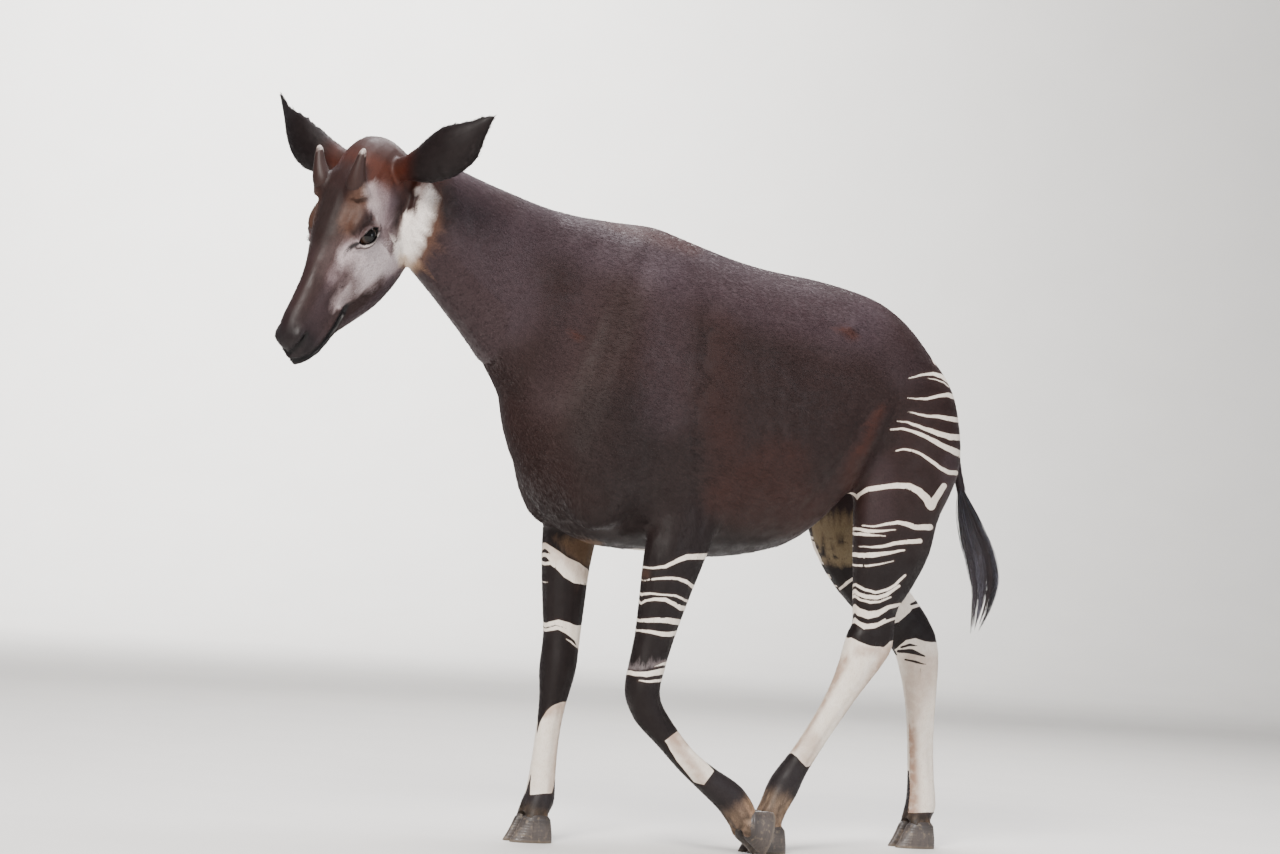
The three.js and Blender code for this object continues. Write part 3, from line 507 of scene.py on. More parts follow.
def from_head(points):
    """From the head's own frame to the body's."""
    return HEAD_ORIGIN + points @ HEAD_AXES


def to_head(points):
    """From the body's frame to the head's own."""
    return (points - HEAD_ORIGIN) @ HEAD_AXES.T


def camera_frame():
    """The camera's place and its directions right, up and back."""
    turn = CAMERA_TURN
    back = np.array((math.sin(turn), -math.cos(turn), 0.0))
    right = np.array((math.cos(turn), math.sin(turn), 0.0))
    up = np.array((0.0, 0.0, 1.0))
    c, s = math.cos(CAMERA_ROLL), math.sin(CAMERA_ROLL)
    return CAMERA_AIM + back * CAMERA_DISTANCE, right * c + up * s, up * c - right * s, back


def in_photo(points):
    """Where points of the body lie in the photograph, in pixels."""
    eye, right, up, back = camera_frame()
    d = points - eye
    depth = -(d @ back)
    x = PHOTO_WIDTH / 2 + FOCAL_PIXELS * (d @ right) / depth
    y = PHOTO_HEIGHT / 2 - FOCAL_PIXELS * (d @ up) / depth
    return np.stack((x, y), 1)


def face_places(head):
    """Where points of the head lie in the photograph, with the right side laid over the left."""
    at_left = head.copy()
    at_left[:, 1] = np.abs(head[:, 1])
    return in_photo(from_head(at_left))


def to_path(q, path):
    """Distance from points to a line through places, and how far along it the nearest point is."""
    path = np.asarray(path, float)
    best = np.full(len(q), 1e9)
    share = np.zeros(len(q))
    spans = len(path) - 1
    for i in range(spans):
        a, d = path[i], path[i + 1] - path[i]
        t = np.clip(((q - a) @ d) / max(d @ d, 1e-12), 0, 1)
        dist = np.linalg.norm(q - a - t[:, None] * d, axis=1)
        nearer = dist < best
        best[nearer] = dist[nearer]
        share[nearer] = (i + t[nearer]) / spans
    return best, share


def to_mouth(q):
    """Distance in pixels to the lips or the nostril."""
    return np.minimum(to_path(q, LIP_LINE)[0], to_path(q, NOSTRIL_LINE)[0])


def in_polygon(q, corners):
    """Signed distance to a closed outline, negative inside."""
    corners = np.asarray(corners, float)
    closed = np.vstack((corners, corners[:1]))
    dist, _ = to_path(q, closed)
    inside = np.zeros(len(q), bool)
    for a, b in zip(closed[:-1], closed[1:]):
        crosses = (a[1] > q[:, 1]) != (b[1] > q[:, 1])
        with np.errstate(divide="ignore", invalid="ignore"):
            x = (b[0] - a[0]) * (q[:, 1] - a[1]) / (b[1] - a[1]) + a[0]
        inside ^= crosses & (q[:, 0] < x)
    return np.where(inside, -dist, dist)


def leg_places(points, rows):
    """How far points lie from a leg's middle line, and where on the leg: row, front to back, side."""
    rows = np.asarray(rows, float) / 1000
    best = np.full(len(points), 1e9)
    row = np.zeros(len(points))
    for i in range(len(rows) - 1):
        a, d = rows[i, :3], rows[i + 1, :3] - rows[i, :3]
        t = np.clip(((points - a) @ d) / (d @ d), 0, 1)
        size = rows[i, 3] + t * (rows[i + 1, 3] - rows[i, 3])
        away = np.linalg.norm(points - a - t[:, None] * d, axis=1) / (size + 0.012)
        nearer = away < best
        best[nearer] = away[nearer]
        row[nearer] = (i + t)[nearer]
    return best, row


def row_values(rows, row):
    """A leg's middle and sizes at a row, and the way down it."""
    rows = np.asarray(rows, float) / 1000
    i = np.clip(row.astype(int), 0, len(rows) - 2)
    t = (row - i)[:, None]
    at = rows[i] * (1 - t) + rows[i + 1] * t
    before = rows[np.maximum(i - 1, 0), :3]
    after = rows[np.minimum(i + 2, len(rows) - 1), :3]
    down = unit((rows[i + 1, :3] - before) * (1 - t) + (after - rows[i, :3]) * t)
    return at, down


def leg_axes(down):
    """The ways across and forward at a place on a leg."""
    left = np.array((0.0, -1.0, 0.0))
    across = unit(left - down * (down @ left)[:, None])
    forward = unit(np.cross(across, down))
    forward[forward[:, 0] > 0] *= -1
    return across, forward


def seen_place(points, rows, drawn):
    """The like place on the side of a leg that the photograph shows, its row, front share and side."""
    _, row = leg_places(points, rows)
    at, down = row_values(rows, row)
    across, forward = leg_axes(down)
    d = points - at[:, :3]
    reach = np.einsum("ij,ij->i", d, forward)
    share = np.clip(np.where(reach > 0, reach / at[:, 3], reach / at[:, 4]), -1, 1)
    shown = points.copy()
    shown[:, 1] = at[:, 1] - np.abs(d[:, 1])
    outer = d[:, 1] > 0
    if drawn is not rows:
        at, down = row_values(drawn, row)
        across, forward = leg_axes(down)
        depth = np.where(share > 0, share * at[:, 3], share * at[:, 4])
        side = np.sqrt(1 - share**2) * at[:, 5]
        other = at[:, :3] + forward * depth[:, None] + across * side[:, None]
        shown[outer] = other[outer]
    return shown, row, share, outer


def mark_distance(q, stripes, patches, dark):
    """Distance in pixels to the nearest white mark, negative inside it."""
    dist = np.full(len(q), 20.0)
    for path, widths in stripes:
        d, t = to_path(q, path)
        dist = np.minimum(dist, d - np.interp(t, (0, 0.5, 1), widths))
    for corners in patches:
        dist = np.minimum(dist, in_polygon(q, corners))
    for path, widths in dark:
        d, t = to_path(q, path)
        dist = np.maximum(dist, np.interp(t, (0, 0.5, 1), widths) - d)
    return dist


def blend(colour, tint, weight):
    """Takes colours towards a tint by each point's weight."""
    colour += (np.array(tint) - colour) * weight[:, None]


def paint(colour, q, strokes):
    """Lays soft strokes of colour over places in the photograph."""
    for path, reach, soft, tint, strength in strokes:
        dist, _ = to_path(q, path)
        blend(colour, tint, strength * smooth(1 - (dist - reach) / soft))


def part_weights(points):
    """Which part each point belongs to: the head, an ear, or one of the legs."""
    head = to_head(points)
    is_head = smooth((-0.565 - points[:, 0] - 0.16 * (points[:, 2] - 1.3)) / 0.05 + 0.5)
    is_head = np.where(head[:, 0] > -0.12, np.maximum(is_head, smooth((points[:, 2] - 1.0) / 0.05)), is_head)
    is_head = np.where(points[:, 0] > -0.42, 0, is_head)
    ear = smooth((np.abs(head[:, 1]) - 0.098) / 0.03) * (head[:, 0] < -0.09) * (head[:, 2] > -0.06)
    ear = ear * (points[:, 2] > 1.5)
    legs = {}
    for name, (rows, _) in LEGS.items():
        legs[name] = leg_places(points, rows)[0]
    return head, is_head, ear, legs


def grain(points, size, seed=0.0):
    """A smooth wandering value from -1 to 1, with waves of about the size given."""
    p = points / size + seed
    a = np.sin(p[:, 0] * 2.1 + 1.7 * np.sin(p[:, 2] * 1.3) + p[:, 1])
    b = np.sin(p[:, 2] * 2.7 + 1.3 * np.sin(p[:, 1] * 1.9) - p[:, 0] * 0.6)
    c = np.sin(p[:, 1] * 2.3 + 1.1 * np.sin(p[:, 0] * 1.7) + p[:, 2] * 0.9)
    return (a + b + c) / 3


def markings(points, normals):
    """Each point's colour, its distance to a white mark, negative inside it, and the dust and painted shade
    on the white.
    """
    count = len(points)
    head, is_head, ear, legs = part_weights(points)
    colour = np.tile(np.array(UMBER), (count, 1))
    mirrored = points.copy()
    mirrored[:, 1] = -np.abs(points[:, 1])
    body_q = in_photo(mirrored)
    body_q += np.stack((grain(points, 0.05), grain(points, 0.05, 3.0)), 1) * 2.0
    lower = smooth((0.95 - points[:, 2]) / 0.25)
    blend(colour, DARK, 0.75 * lower)
    crest = smooth((points[:, 2] - 1.36) / 0.14) * (points[:, 0] > -0.4)
    blend(colour, DARK, 0.35 * crest)
    neckline = smooth((-0.25 - points[:, 0]) / 0.25)
    blend(colour, VIOLET, 0.35 * neckline)
    paint(colour, body_q, BODY_PAINT)

    blend(colour, face_colour(points, normals, head), is_head)
    blend(colour, ear_colour(points, normals, head), ear)
    white = np.full(count, FAR_FROM_MARKS)
    dust_and_shade = np.zeros(count)
    names = list(LEGS)
    away = np.array([legs[n] for n in names])
    nearest = away.argmin(0)
    for k, name in enumerate(names):
        chosen = np.where((nearest == k) & (away[k] < 1.9) & (points[:, 0] > -0.4))[0]
        if not len(chosen):
            continue
        p = points[chosen]
        place, row, share, outer = seen_place(p, *LEGS[name])
        q = in_photo(place)
        q += np.stack((grain(p, 0.012), grain(p, 0.012, 2.0)), 1) * 0.3
        dist = mark_distance(q, *MARKS[name])
        if name == "right_hind":
            inner = ~outer
            dist[inner] = mark_distance(q[inner], *MARKS["far_hind"])
        white[chosen] = np.clip(dist * PIXEL, -FAR_FROM_MARKS, FAR_FROM_MARKS)
        for path, reach, soft, strength in WHITE_DUST_AND_SHADE[name]:
            weight = strength * smooth(1 - (to_path(q, path)[0] - reach) / soft)
            dust_and_shade[chosen] = np.maximum(dust_and_shade[chosen], weight)
        leg_colour(colour, chosen, p, q, row, share, name, dist, outer)
    dock = smooth((0.036 - to_path(points, DOCK_LINE)[0]) / 0.006)
    blend(colour, np.array(VIOLET) * 0.75, 0.8 * dock)
    white = np.where(dock > 0.3, FAR_FROM_MARKS, white)
    return np.clip(colour, 0.01, 1), white, dust_and_shade


def face_colour(points, normals, head):
    """The face, from its left side."""
    face_q = face_places(head)
    wander = np.stack((grain(points, 0.018), grain(points, 0.018, 5.0)), 1)
    face = np.tile(np.array(UMBER), (len(points), 1))
    under = smooth((-0.12 - head[:, 2]) / 0.06)
    blend(face, VIOLET, 0.6 * under)
    paint(face, face_q + wander * 1.6, FACE_PAINT)
    muzzle = smooth((head[:, 0] - 0.20) / 0.12)
    blend(face, (0.105, 0.078, 0.085), 0.85 * muzzle)
    bridge = smooth((head[:, 2] - 0.035) / 0.03) * smooth((0.045 - np.abs(head[:, 1])) / 0.02)
    bridge *= smooth((head[:, 0] + 0.09) / 0.05)
    blend(face, (0.13, 0.088, 0.082), 0.8 * bridge)
    # painted shade: near black along the slit of the mouth and inside the nostril
    lip, _ = to_path(face_q, LIP_LINE)
    front = smooth((normals @ camera_frame()[3] * np.sign(head[:, 1] + 1e-9)) / 0.2 + 1)
    blend(face, SOOT, 0.95 * smooth((3.4 - lip) / 2.0) * front)
    hole, _ = to_path(face_q, NOSTRIL_LINE)
    blend(face, SOOT, 0.9 * smooth((3.0 - hole) / 2.0))
    nape = smooth((-0.155 - head[:, 0]) / 0.05) * smooth((head[:, 2] + 0.05) / 0.06)
    blend(face, np.array(RUSSET) * 0.7, 0.7 * nape)
    lids(face, head)
    return face


def ear_colour(points, normals, head):
    """The ears: dark outside and towards the tips, russet at the root, bare and pinkish inside the cup."""
    reach = np.abs(head[:, 1])
    root = smooth((0.170 - reach) / 0.07)[:, None]
    shell = np.array((0.090, 0.058, 0.060)) + (np.array(CHESTNUT) * 0.75 - 0.07) * root
    side = np.sign(head[:, 1])[:, None]
    opening = unit(HEAD_FORWARD * -0.42 + HEAD_TOP * -0.8)[None] + side * HEAD_LEFT * -0.06
    inside = smooth(np.einsum("ij,ij->i", normals, unit(opening)) / 0.5)
    cup = np.array((0.060, 0.038, 0.038)) + np.array((0.20, 0.075, 0.06)) * (
        smooth((0.27 - reach) / 0.08) * smooth((grain(points, 0.02) + 0.6) / 1.2) * 0.6
    )[:, None]
    blend(shell, cup, inside)
    return shell


def leg_colour(colour, chosen, p, q, row, share, name, dist, outer):
    """The dark, brown and tan areas of a leg that are not stripes."""
    low = smooth((0.80 - p[:, 2]) / 0.1)
    base = colour[chosen]
    blend(base, DARK, 0.7 * low)
    last = len(LEGS[name][0]) - 1
    fetlock = smooth((row - (last - 1.75)) / 0.35)
    blend(base, (0.15, 0.13, 0.135), 0.9 * fetlock)
    pastern = smooth((row - (last - (1.0 if "left" in name else 0.75))) / 0.35)
    rear = smooth(-share * 1.2 + 0.2)
    # the pasterns of the left legs are drawn 1.9 times as light as those of the right
    pastern_lightness = 1.9 if "left" in name else 1.0
    tint = np.array((0.27, 0.225, 0.185)) * pastern_lightness + np.array((0.14, 0.10, 0.06)) * rear[:, None]
    mottle = 0.85 + 0.35 * grain(p, 0.008)[:, None]
    blend(base, tint * mottle, 0.9 * pastern)
    if name == "right_fore":
        # painted shade: the pale hair inside the far fore's forearm is drawn tan, as it looks in shade
        inner = in_polygon(q, ((552, 536), (600, 540), (600, 575), (587, 567), (576, 560), (567, 554)))
        blend(base, np.array(TAN) * 0.8, 0.75 * smooth(-inner / 5 + 0.5) * ~outer)
    # painted shade: the white hair inside the far hind's thigh is drawn khaki, as it looks in shade
    if name == "right_hind":
        thigh = in_polygon(q, FAR_THIGH)
        thigh = np.maximum(thigh, -mark_distance(q, FAR_THIGH_DARK, (), ()))
        blend(base, WHITE_IN_SHADE, 0.9 * smooth(0.5 - thigh / 2) * ~outer)
    if name == "left_fore":
        blush, _ = to_path(q, ((640, 571), (646, 574)))
        blend(base, FAWN, 0.5 * smooth(1 - blush / 8))
        grey, _ = to_path(q, ((622, 667), (640.8, 667.7), (653.1, 665.4), (666.8, 661.6)))
        blend(base, np.array(SILVER) * 0.7, 0.75 * smooth((3.4 - grey) / 2))
    halo = smooth(1 - np.abs(dist) / 2.0)
    blend(base, FAWN, 0.25 * halo)
    colour[chosen] = base


def lids(face, head):
    """The dark rim of the eye, the pale fold over it and painted shade above the fold."""
    for side in (-1, 1):
        u, v, w = eye_places(head, side)
        inside, upper = lid_share(u, v)
        near = (w > -0.01) & (np.hypot(u, v) < 0.06)
        rim = smooth(1 - np.abs(inside) / 0.0035) * near + (inside > 0) * near
        fold = smooth(1 - np.abs(inside + 0.0062) / 0.0045) * near * upper * (np.abs(u) < 0.026)
        shade = smooth(1 - np.abs(inside + 0.0125) / 0.004) * near * upper
        blend(face, np.array(UMBER) * 0.6, 0.75 * shade)
        blend(face, CHALK, 0.9 * fold)
        blend(face, np.array(SOOT) * 0.6, np.clip(rim, 0, 1))


def eye_axes(side):
    flip = np.array((1.0, side, 1.0))
    outward = unit(EYE_OUTWARD * flip)
    along = EYE_ALONG * flip
    along = unit(along - outward * (along @ outward))
    over = np.cross(outward, along) * side
    return EYE_PLACE * flip, along, over, outward


def eye_places(head, side):
    """Places by the eye: along the opening to the front corner, over it, and outwards."""
    centre, along, over, outward = eye_axes(side)
    d = head - centre
    return d @ along, d @ over, d @ outward


def lid_share(u, v):
    """How far inside the opening a place is, in metres, and whether it is above the middle."""
    s = np.clip(np.abs(u) / EYE_REACH, 0, 1)
    tilt = 0.10 * u
    up = LID_UPPER * (1 - s**2) ** 0.75
    down = LID_LOWER * (1 - s**2) ** 0.95
    inside = np.minimum(up - (v - tilt), down + (v - tilt))
    beyond = np.abs(u) - EYE_REACH
    inside = np.where(beyond > 0, -np.hypot(beyond, v - tilt), inside)
    return inside, (v > tilt).astype(float)


def mesh_arrays(mesh):
    """A mesh's places and normals."""
    co = np.zeros(len(mesh.vertices) * 3, np.float32)
    mesh.vertices.foreach_get("co", co)
    no = np.zeros(len(mesh.vertices) * 3, np.float32)
    mesh.vertex_normals.foreach_get("vector", no)
    return co.reshape(-1, 3).astype(float), no.reshape(-1, 3).astype(float)


def set_places(mesh, co):
    mesh.vertices.foreach_set("co", co.astype(np.float32).ravel())
    mesh.update()


def edges_of(mesh):
    e = np.zeros(len(mesh.edges) * 2, np.int32)
    mesh.edges.foreach_get("vertices", e)
    return e.reshape(-1, 2)


def relax(co, edges, weight, rounds, swell=0.0):
    """Evens out a surface, which keeps its volume when it swells again after each step."""
    active = (weight[edges[:, 0]] > 0) | (weight[edges[:, 1]] > 0)
    a, b = edges[active].T
    count = len(co)
    degree = np.maximum(np.bincount(a, minlength=count) + np.bincount(b, minlength=count), 1)
    steps = [0.6, -swell] if swell else [0.8]
    for _ in range(rounds):
        for step in steps:
            mean = np.empty_like(co)
            for k in range(3):
                total = np.bincount(a, co[b, k], count) + np.bincount(b, co[a, k], count)
                mean[:, k] = total / degree
            co = co + (mean - co) * (weight * step)[:, None]
    return co


def float_attribute(mesh, name, values):
    attribute = mesh.attributes.new(name, "FLOAT", "POINT")
    attribute.data.foreach_set("value", np.asarray(values, np.float32))


def colour_attribute(mesh, name, values):
    attribute = mesh.attributes.new(name, "FLOAT_COLOR", "POINT")
    linear = np.where(values <= 0.04045, values / 12.92, ((values + 0.055) / 1.055) ** 2.4)
    rgba = np.ones((len(values), 4), np.float32)
    rgba[:, :3] = linear
    attribute.data.foreach_set("color", rgba.ravel())


def new_mesh(name, co, faces, material):
    """An object from vertices and equal-sided faces, all as arrays."""
    mesh = bpy.data.meshes.new(name)
    faces = np.asarray(faces, np.int32)
    count, sides = faces.shape
    mesh.vertices.add(len(co))
    mesh.vertices.foreach_set("co", np.asarray(co, np.float32).ravel())
    mesh.loops.add(count * sides)
    mesh.loops.foreach_set("vertex_index", faces.ravel())
    mesh.polygons.add(count)
    mesh.polygons.foreach_set("loop_start", np.arange(count, dtype=np.int32) * sides)
    mesh.update(calc_edges=True)
    mesh.polygons.foreach_set("use_smooth", np.full(count, True))
    obj = bpy.data.objects.new(name, mesh)
    bpy.context.scene.collection.objects.link(obj)
    mesh.materials.append(material)
    return obj


def tube(rings):
    """Vertices and four-sided faces of a tube through rings of equal count, with closed ends."""
    rings = np.asarray(rings, float)
    n, k, _ = rings.shape
    faces = []
    for r in range(n - 1):
        for i in range(k):
            j = (i + 1) % k
            faces.append((r * k + i, r * k + j, (r + 1) * k + j, (r + 1) * k + i))
    co = np.vstack((rings.reshape(-1, 3), rings[0].mean(0), rings[-1].mean(0)))
    first, last = n * k, n * k + 1
    for i in range(k):
        j = (i + 1) % k
        faces.append((first, j, i, first))
        faces.append((last, (n - 1) * k + i, (n - 1) * k + j, last))
    return co, faces


def solid_from(name, parts, material):
    """One object from several closed tubes."""
    places, polygons, start = [], [], 0
    for co, faces in parts:
        places.append(co)
        for face in faces:
            ring = [start + i for i in dict.fromkeys(face)]
            polygons.append(ring)
        start += len(co)
    mesh = bpy.data.meshes.new(name)
    mesh.from_pydata(np.vstack(places).tolist(), [], polygons)
    mesh.validate()
    mesh.update()
    obj = bpy.data.objects.new(name, mesh)
    bpy.context.scene.collection.objects.link(obj)
    mesh.materials.append(material)
    tidy(obj)
    return obj


def tidy(obj):
    """Faces turned outwards and shaded smooth."""
    only(obj)
    bpy.ops.object.mode_set(mode="EDIT")
    bpy.ops.mesh.select_all(action="SELECT")
    bpy.ops.mesh.normals_make_consistent(inside=False)
    bpy.ops.object.mode_set(mode="OBJECT")
    bpy.ops.object.shade_smooth()


def only(obj):
    bpy.ops.object.select_all(action="DESELECT")
    obj.select_set(True)
    bpy.context.view_layer.objects.active = obj


def apply_modifier(obj, kind, **settings):
    only(obj)
    modifier = obj.modifiers.new(kind.title(), kind)
    for key, value in settings.items():
        setattr(modifier, key, value)
    bpy.ops.object.modifier_apply(modifier=modifier.name)


# Materials


def linear(colour):
    return tuple(c / 12.92 if c <= 0.04045 else ((c + 0.055) / 1.055) ** 2.4 for c in colour)


class Nodes:
    """A short way to write a material's nodes."""

    def __init__(self, name):
        self.material = bpy.data.materials.new(name)
        self.material.use_nodes = True
        self.tree = self.material.node_tree
        self.tree.nodes.clear()
        self.out = self.add("ShaderNodeOutputMaterial")
        self.shader = self.add("ShaderNodeBsdfPrincipled")
        self.link(self.shader.outputs[0], self.out.inputs["Surface"])
        self.place = self.add("ShaderNodeTexCoord").outputs["Object"]

    def add(self, kind, **settings):
        node = self.tree.nodes.new(kind)
        for key, value in settings.items():
            setattr(node, key, value)
        return node

    def link(self, a, b):
        self.tree.links.new(a, b)

    def put(self, socket, value):
        if isinstance(value, bpy.types.NodeSocket):
            self.link(value, socket)
        else:
            socket.default_value = value

    def attribute(self, name, output="Fac"):
        return self.add("ShaderNodeAttribute", attribute_name=name).outputs[output]

    def maths(self, operation, a, b=0.0, c=0.0):
        node = self.add("ShaderNodeMath", operation=operation)
        for socket, value in zip(node.inputs, (a, b, c)):
            self.put(socket, value)
        return node.outputs[0]

    def noise(self, scale, detail=3.0, rough=0.5, stretch=None):
        source = self.place
        if stretch:
            mapping = self.add("ShaderNodeMapping")
            self.link(source, mapping.inputs["Vector"])
            mapping.inputs["Scale"].default_value = stretch
            source = mapping.outputs[0]
        node = self.add("ShaderNodeTexNoise")
        self.link(source, node.inputs["Vector"])
        node.inputs["Scale"].default_value = scale
        node.inputs["Detail"].default_value = detail
        node.inputs["Roughness"].default_value = rough
        return node.outputs["Fac"]

    def range(self, value, a, b, c=0.0, d=1.0):
        node = self.add("ShaderNodeMapRange", interpolation_type="SMOOTHSTEP")
        for socket, v in zip(node.inputs, (value, a, b, c, d)):
            self.put(socket, v)
        return node.outputs[0]

    def mix(self, share, a, b, kind="MIX"):
        node = self.add("ShaderNodeMix", data_type="RGBA", blend_type=kind)
        self.put(node.inputs[0], share)
        self.put(node.inputs[6], a if isinstance(a, bpy.types.NodeSocket) else (*linear(a), 1))
        self.put(node.inputs[7], b if isinstance(b, bpy.types.NodeSocket) else (*linear(b), 1))
        return node.outputs[2]

    def darker(self, share, a, tint):
        """Colour a, multiplied by a tint where the share is high."""
        return self.mix(share, a, self.mix(1.0, a, tint, "MULTIPLY"))

    def bump(self, height, distance, strength, below=None):
        node = self.add("ShaderNodeBump")
        node.inputs["Strength"].default_value = strength
        node.inputs["Distance"].default_value = distance
        self.link(height, node.inputs["Height"])
        if below:
            self.link(below, node.inputs["Normal"])
        return node.outputs[0]

    def finish(self, **values):
        for key, value in values.items():
            self.put(self.shader.inputs[key.replace("_", " ")], value)
        return self.material


def coat_material(looks, name, bare):
    """The coat's colour from its markings; on the skin it also has the grain of short hair."""
    n = Nodes(name)
    base = n.attribute("coat_colour", "Color")
    white = n.attribute("white_edge")
    tremble = n.maths("MULTIPLY_ADD", n.noise(420, 2), 0.0016, -0.0008)
    edge = n.range(n.maths("ADD", white, tremble), 0.0007, -0.0007)
    mottled = n.darker(n.range(n.noise(9, 4), 0.35, 0.7, 0.0, 0.35), base, (0.86, 0.80, 0.80))
    strand = n.noise(700, 2, stretch=(0.5, 1, 0.35))
    mottled = n.darker(n.range(strand, 0.3, 0.75, 0.0, 0.45), mottled, (0.62, 0.58, 0.58))
    pale = n.mix(n.noise(60, 4), tuple(looks.white_colour), (0.84, 0.78, 0.71))
    pale = n.mix(n.range(n.noise(600, 2, stretch=(0.6, 1, 0.3)), 0.45, 0.8, 0, 0.3), pale, (0.6, 0.52, 0.47))
    # tan on the white: partly dust, partly painted shade along the legs' rear edges
    dust_and_shade = n.maths("MULTIPLY", n.attribute("white_dust_and_shade"), n.range(n.noise(45, 4), 0.25, 0.6, 0.55, 1.0))
    pale = n.mix(dust_and_shade, pale, (0.60, 0.475, 0.40))
    colour = n.mix(edge, mottled, pale)
    rough = n.range(n.noise(35, 3), 0.3, 0.7, 0.46, 0.62)
    normal = n.bump(n.noise(30, 3), 0.0012, 0.35)
    if bare:
        normal = n.bump(n.noise(520, 3, 0.6, stretch=(0.55, 1, 0.35)), 0.0006, 0.55, normal)
    return n.finish(
        Base_Color=colour,
        Roughness=rough,
        Normal=normal,
        IOR=1.30,
        Sheen_Weight=looks.sheen,
        Sheen_Roughness=0.45,
        Sheen_Tint=(0.62, 0.55, 0.62, 1),
    )


def eye_material():
    n = Nodes("okapi_eye")
    u = n.attribute("iris_along")
    v = n.attribute("iris_over")
    outer = n.attribute("iris_out")
    wide = n.maths("MULTIPLY", u, n.maths("ABSOLUTE", u))
    pupil = n.maths("ADD", n.maths("ABSOLUTE", wide), n.maths("MULTIPLY", n.maths("MULTIPLY", v, v), 3.2))
    iris = n.mix(n.noise(260, 4), (0.014, 0.010, 0.009), (0.034, 0.021, 0.015))
    colour = n.mix(n.range(pupil, 0.00009, 0.00013), (0.012, 0.010, 0.012), iris)
    colour = n.mix(n.range(outer, 0.0165, 0.0185), (0.16, 0.11, 0.085), colour)
    colour = n.mix(n.range(outer, 0.004, 0.010), (0.34, 0.24, 0.20), colour)
    return n.finish(Base_Color=colour, Roughness=0.05, IOR=1.36)


def horn_material():
    n = Nodes("okapi_horn")
    tip = n.attribute("towards_tip")
    ragged = n.maths("ADD", tip, n.maths("MULTIPLY_ADD", n.noise(120, 3), 0.16, -0.08))
    fur = n.mix(n.noise(500, 3, stretch=(1, 1, 0.3)), (0.125, 0.075, 0.068), (0.19, 0.115, 0.10))
    bare = n.mix(n.noise(180, 3), (0.42, 0.36, 0.34), (0.74, 0.69, 0.67))
    colour = n.mix(n.range(ragged, 0.88, 0.96), fur, bare)
    rough = n.range(ragged, 0.86, 0.95, 0.52, 0.22)
    normal = n.bump(n.noise(420, 3, stretch=(1, 1, 0.25)), 0.0007, 0.6)
    return n.finish(Base_Color=colour, Roughness=rough, Normal=normal, IOR=1.33)


def hoof_material():
    n = Nodes("okapi_hoof")
    height = n.attribute("over_sole")
    wander = n.maths("MULTIPLY_ADD", n.noise(40, 2), 0.006, height)
    rings = n.maths("SINE", n.maths("MULTIPLY", wander, HOOF_RINGS))
    streaks = n.noise(240, 4, stretch=(1, 1, 0.12))
    colour = n.mix(streaks, (0.16, 0.145, 0.14), (0.36, 0.32, 0.30))
    colour = n.mix(n.range(height, 0.036, 0.058, 0, 0.6), colour, (0.13, 0.11, 0.11))
    colour = n.mix(n.range(n.noise(90, 5), 0.52, 0.75, 0, 0.55), colour, (0.50, 0.44, 0.37))
    colour = n.mix(n.range(height, 0.010, 0.0, 0, 0.6), colour, (0.46, 0.41, 0.35))
    normal = n.bump(rings, 0.0004, 0.5)
    normal = n.bump(n.noise(300, 4, stretch=(1, 1, 0.15)), 0.0005, 0.5, normal)
    return n.finish(Base_Color=colour, Roughness=n.range(streaks, 0.3, 0.7, 0.38, 0.62), Normal=normal)


def tail_material():
    n = Nodes("okapi_tail_hair")
    shade = n.attribute("strand_shade")
    colour = n.mix(shade, (0.05, 0.045, 0.06), (0.20, 0.16, 0.165))
    colour = n.mix(n.range(n.noise(90, 2), 0.5, 0.8, 0, 0.35), colour, (0.25, 0.16, 0.12))
    return n.finish(
        Base_Color=colour,
        Roughness=0.42,
        IOR=1.5,
        Sheen_Weight=0.3,
        Sheen_Roughness=0.3,
        Sheen_Tint=(0.7, 0.7, 0.9, 1),
    )


def floor_material():
    n = Nodes("studio_floor")
    colour = n.mix(n.noise(3, 3), (0.80, 0.79, 0.775), (0.83, 0.82, 0.805))
    return n.finish(Base_Color=colour, Roughness=0.85)


# Pieces


def flesh_names(frame_nodes):
    """The nodes that the one skin stands for."""
    return sorted(n for n in frame_nodes if n not in NOT_SKIN and "hoof" not in n)


def cad_nodes():
    return {o["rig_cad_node"]: o for o in bpy.data.objects if "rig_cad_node" in o}


def merged_copy(names, name):
    """A new object with the meshes of several nodes in it."""
    places, polygons, start = [], [], 0
    nodes = cad_nodes()
    for node in names:
        mesh = nodes[node].data
        co, _ = mesh_arrays(mesh)
        places.append(co)
        polygons.extend([[start + i for i in p.vertices] for p in mesh.polygons])
        start += len(co)
    mesh = bpy.data.meshes.new(name)
    mesh.from_pydata(np.vstack(places).tolist(), [], polygons)
    obj = bpy.data.objects.new(name, mesh)
    bpy.context.scene.collection.objects.link(obj)
    return obj


def press(co, normals, q, forms, facing):
    """Raises or sinks the surface along lines in the photograph, where it faces the view."""
    for path, reach, depth in forms:
        dist, share = to_path(q, path)
        ends = smooth(share / 0.12 + 0.35) * smooth((1 - share) / 0.12 + 0.35)
        move = depth / 1000 * np.exp(-((dist / reach) ** 2)) * facing * ends
        co += normals * move[:, None]


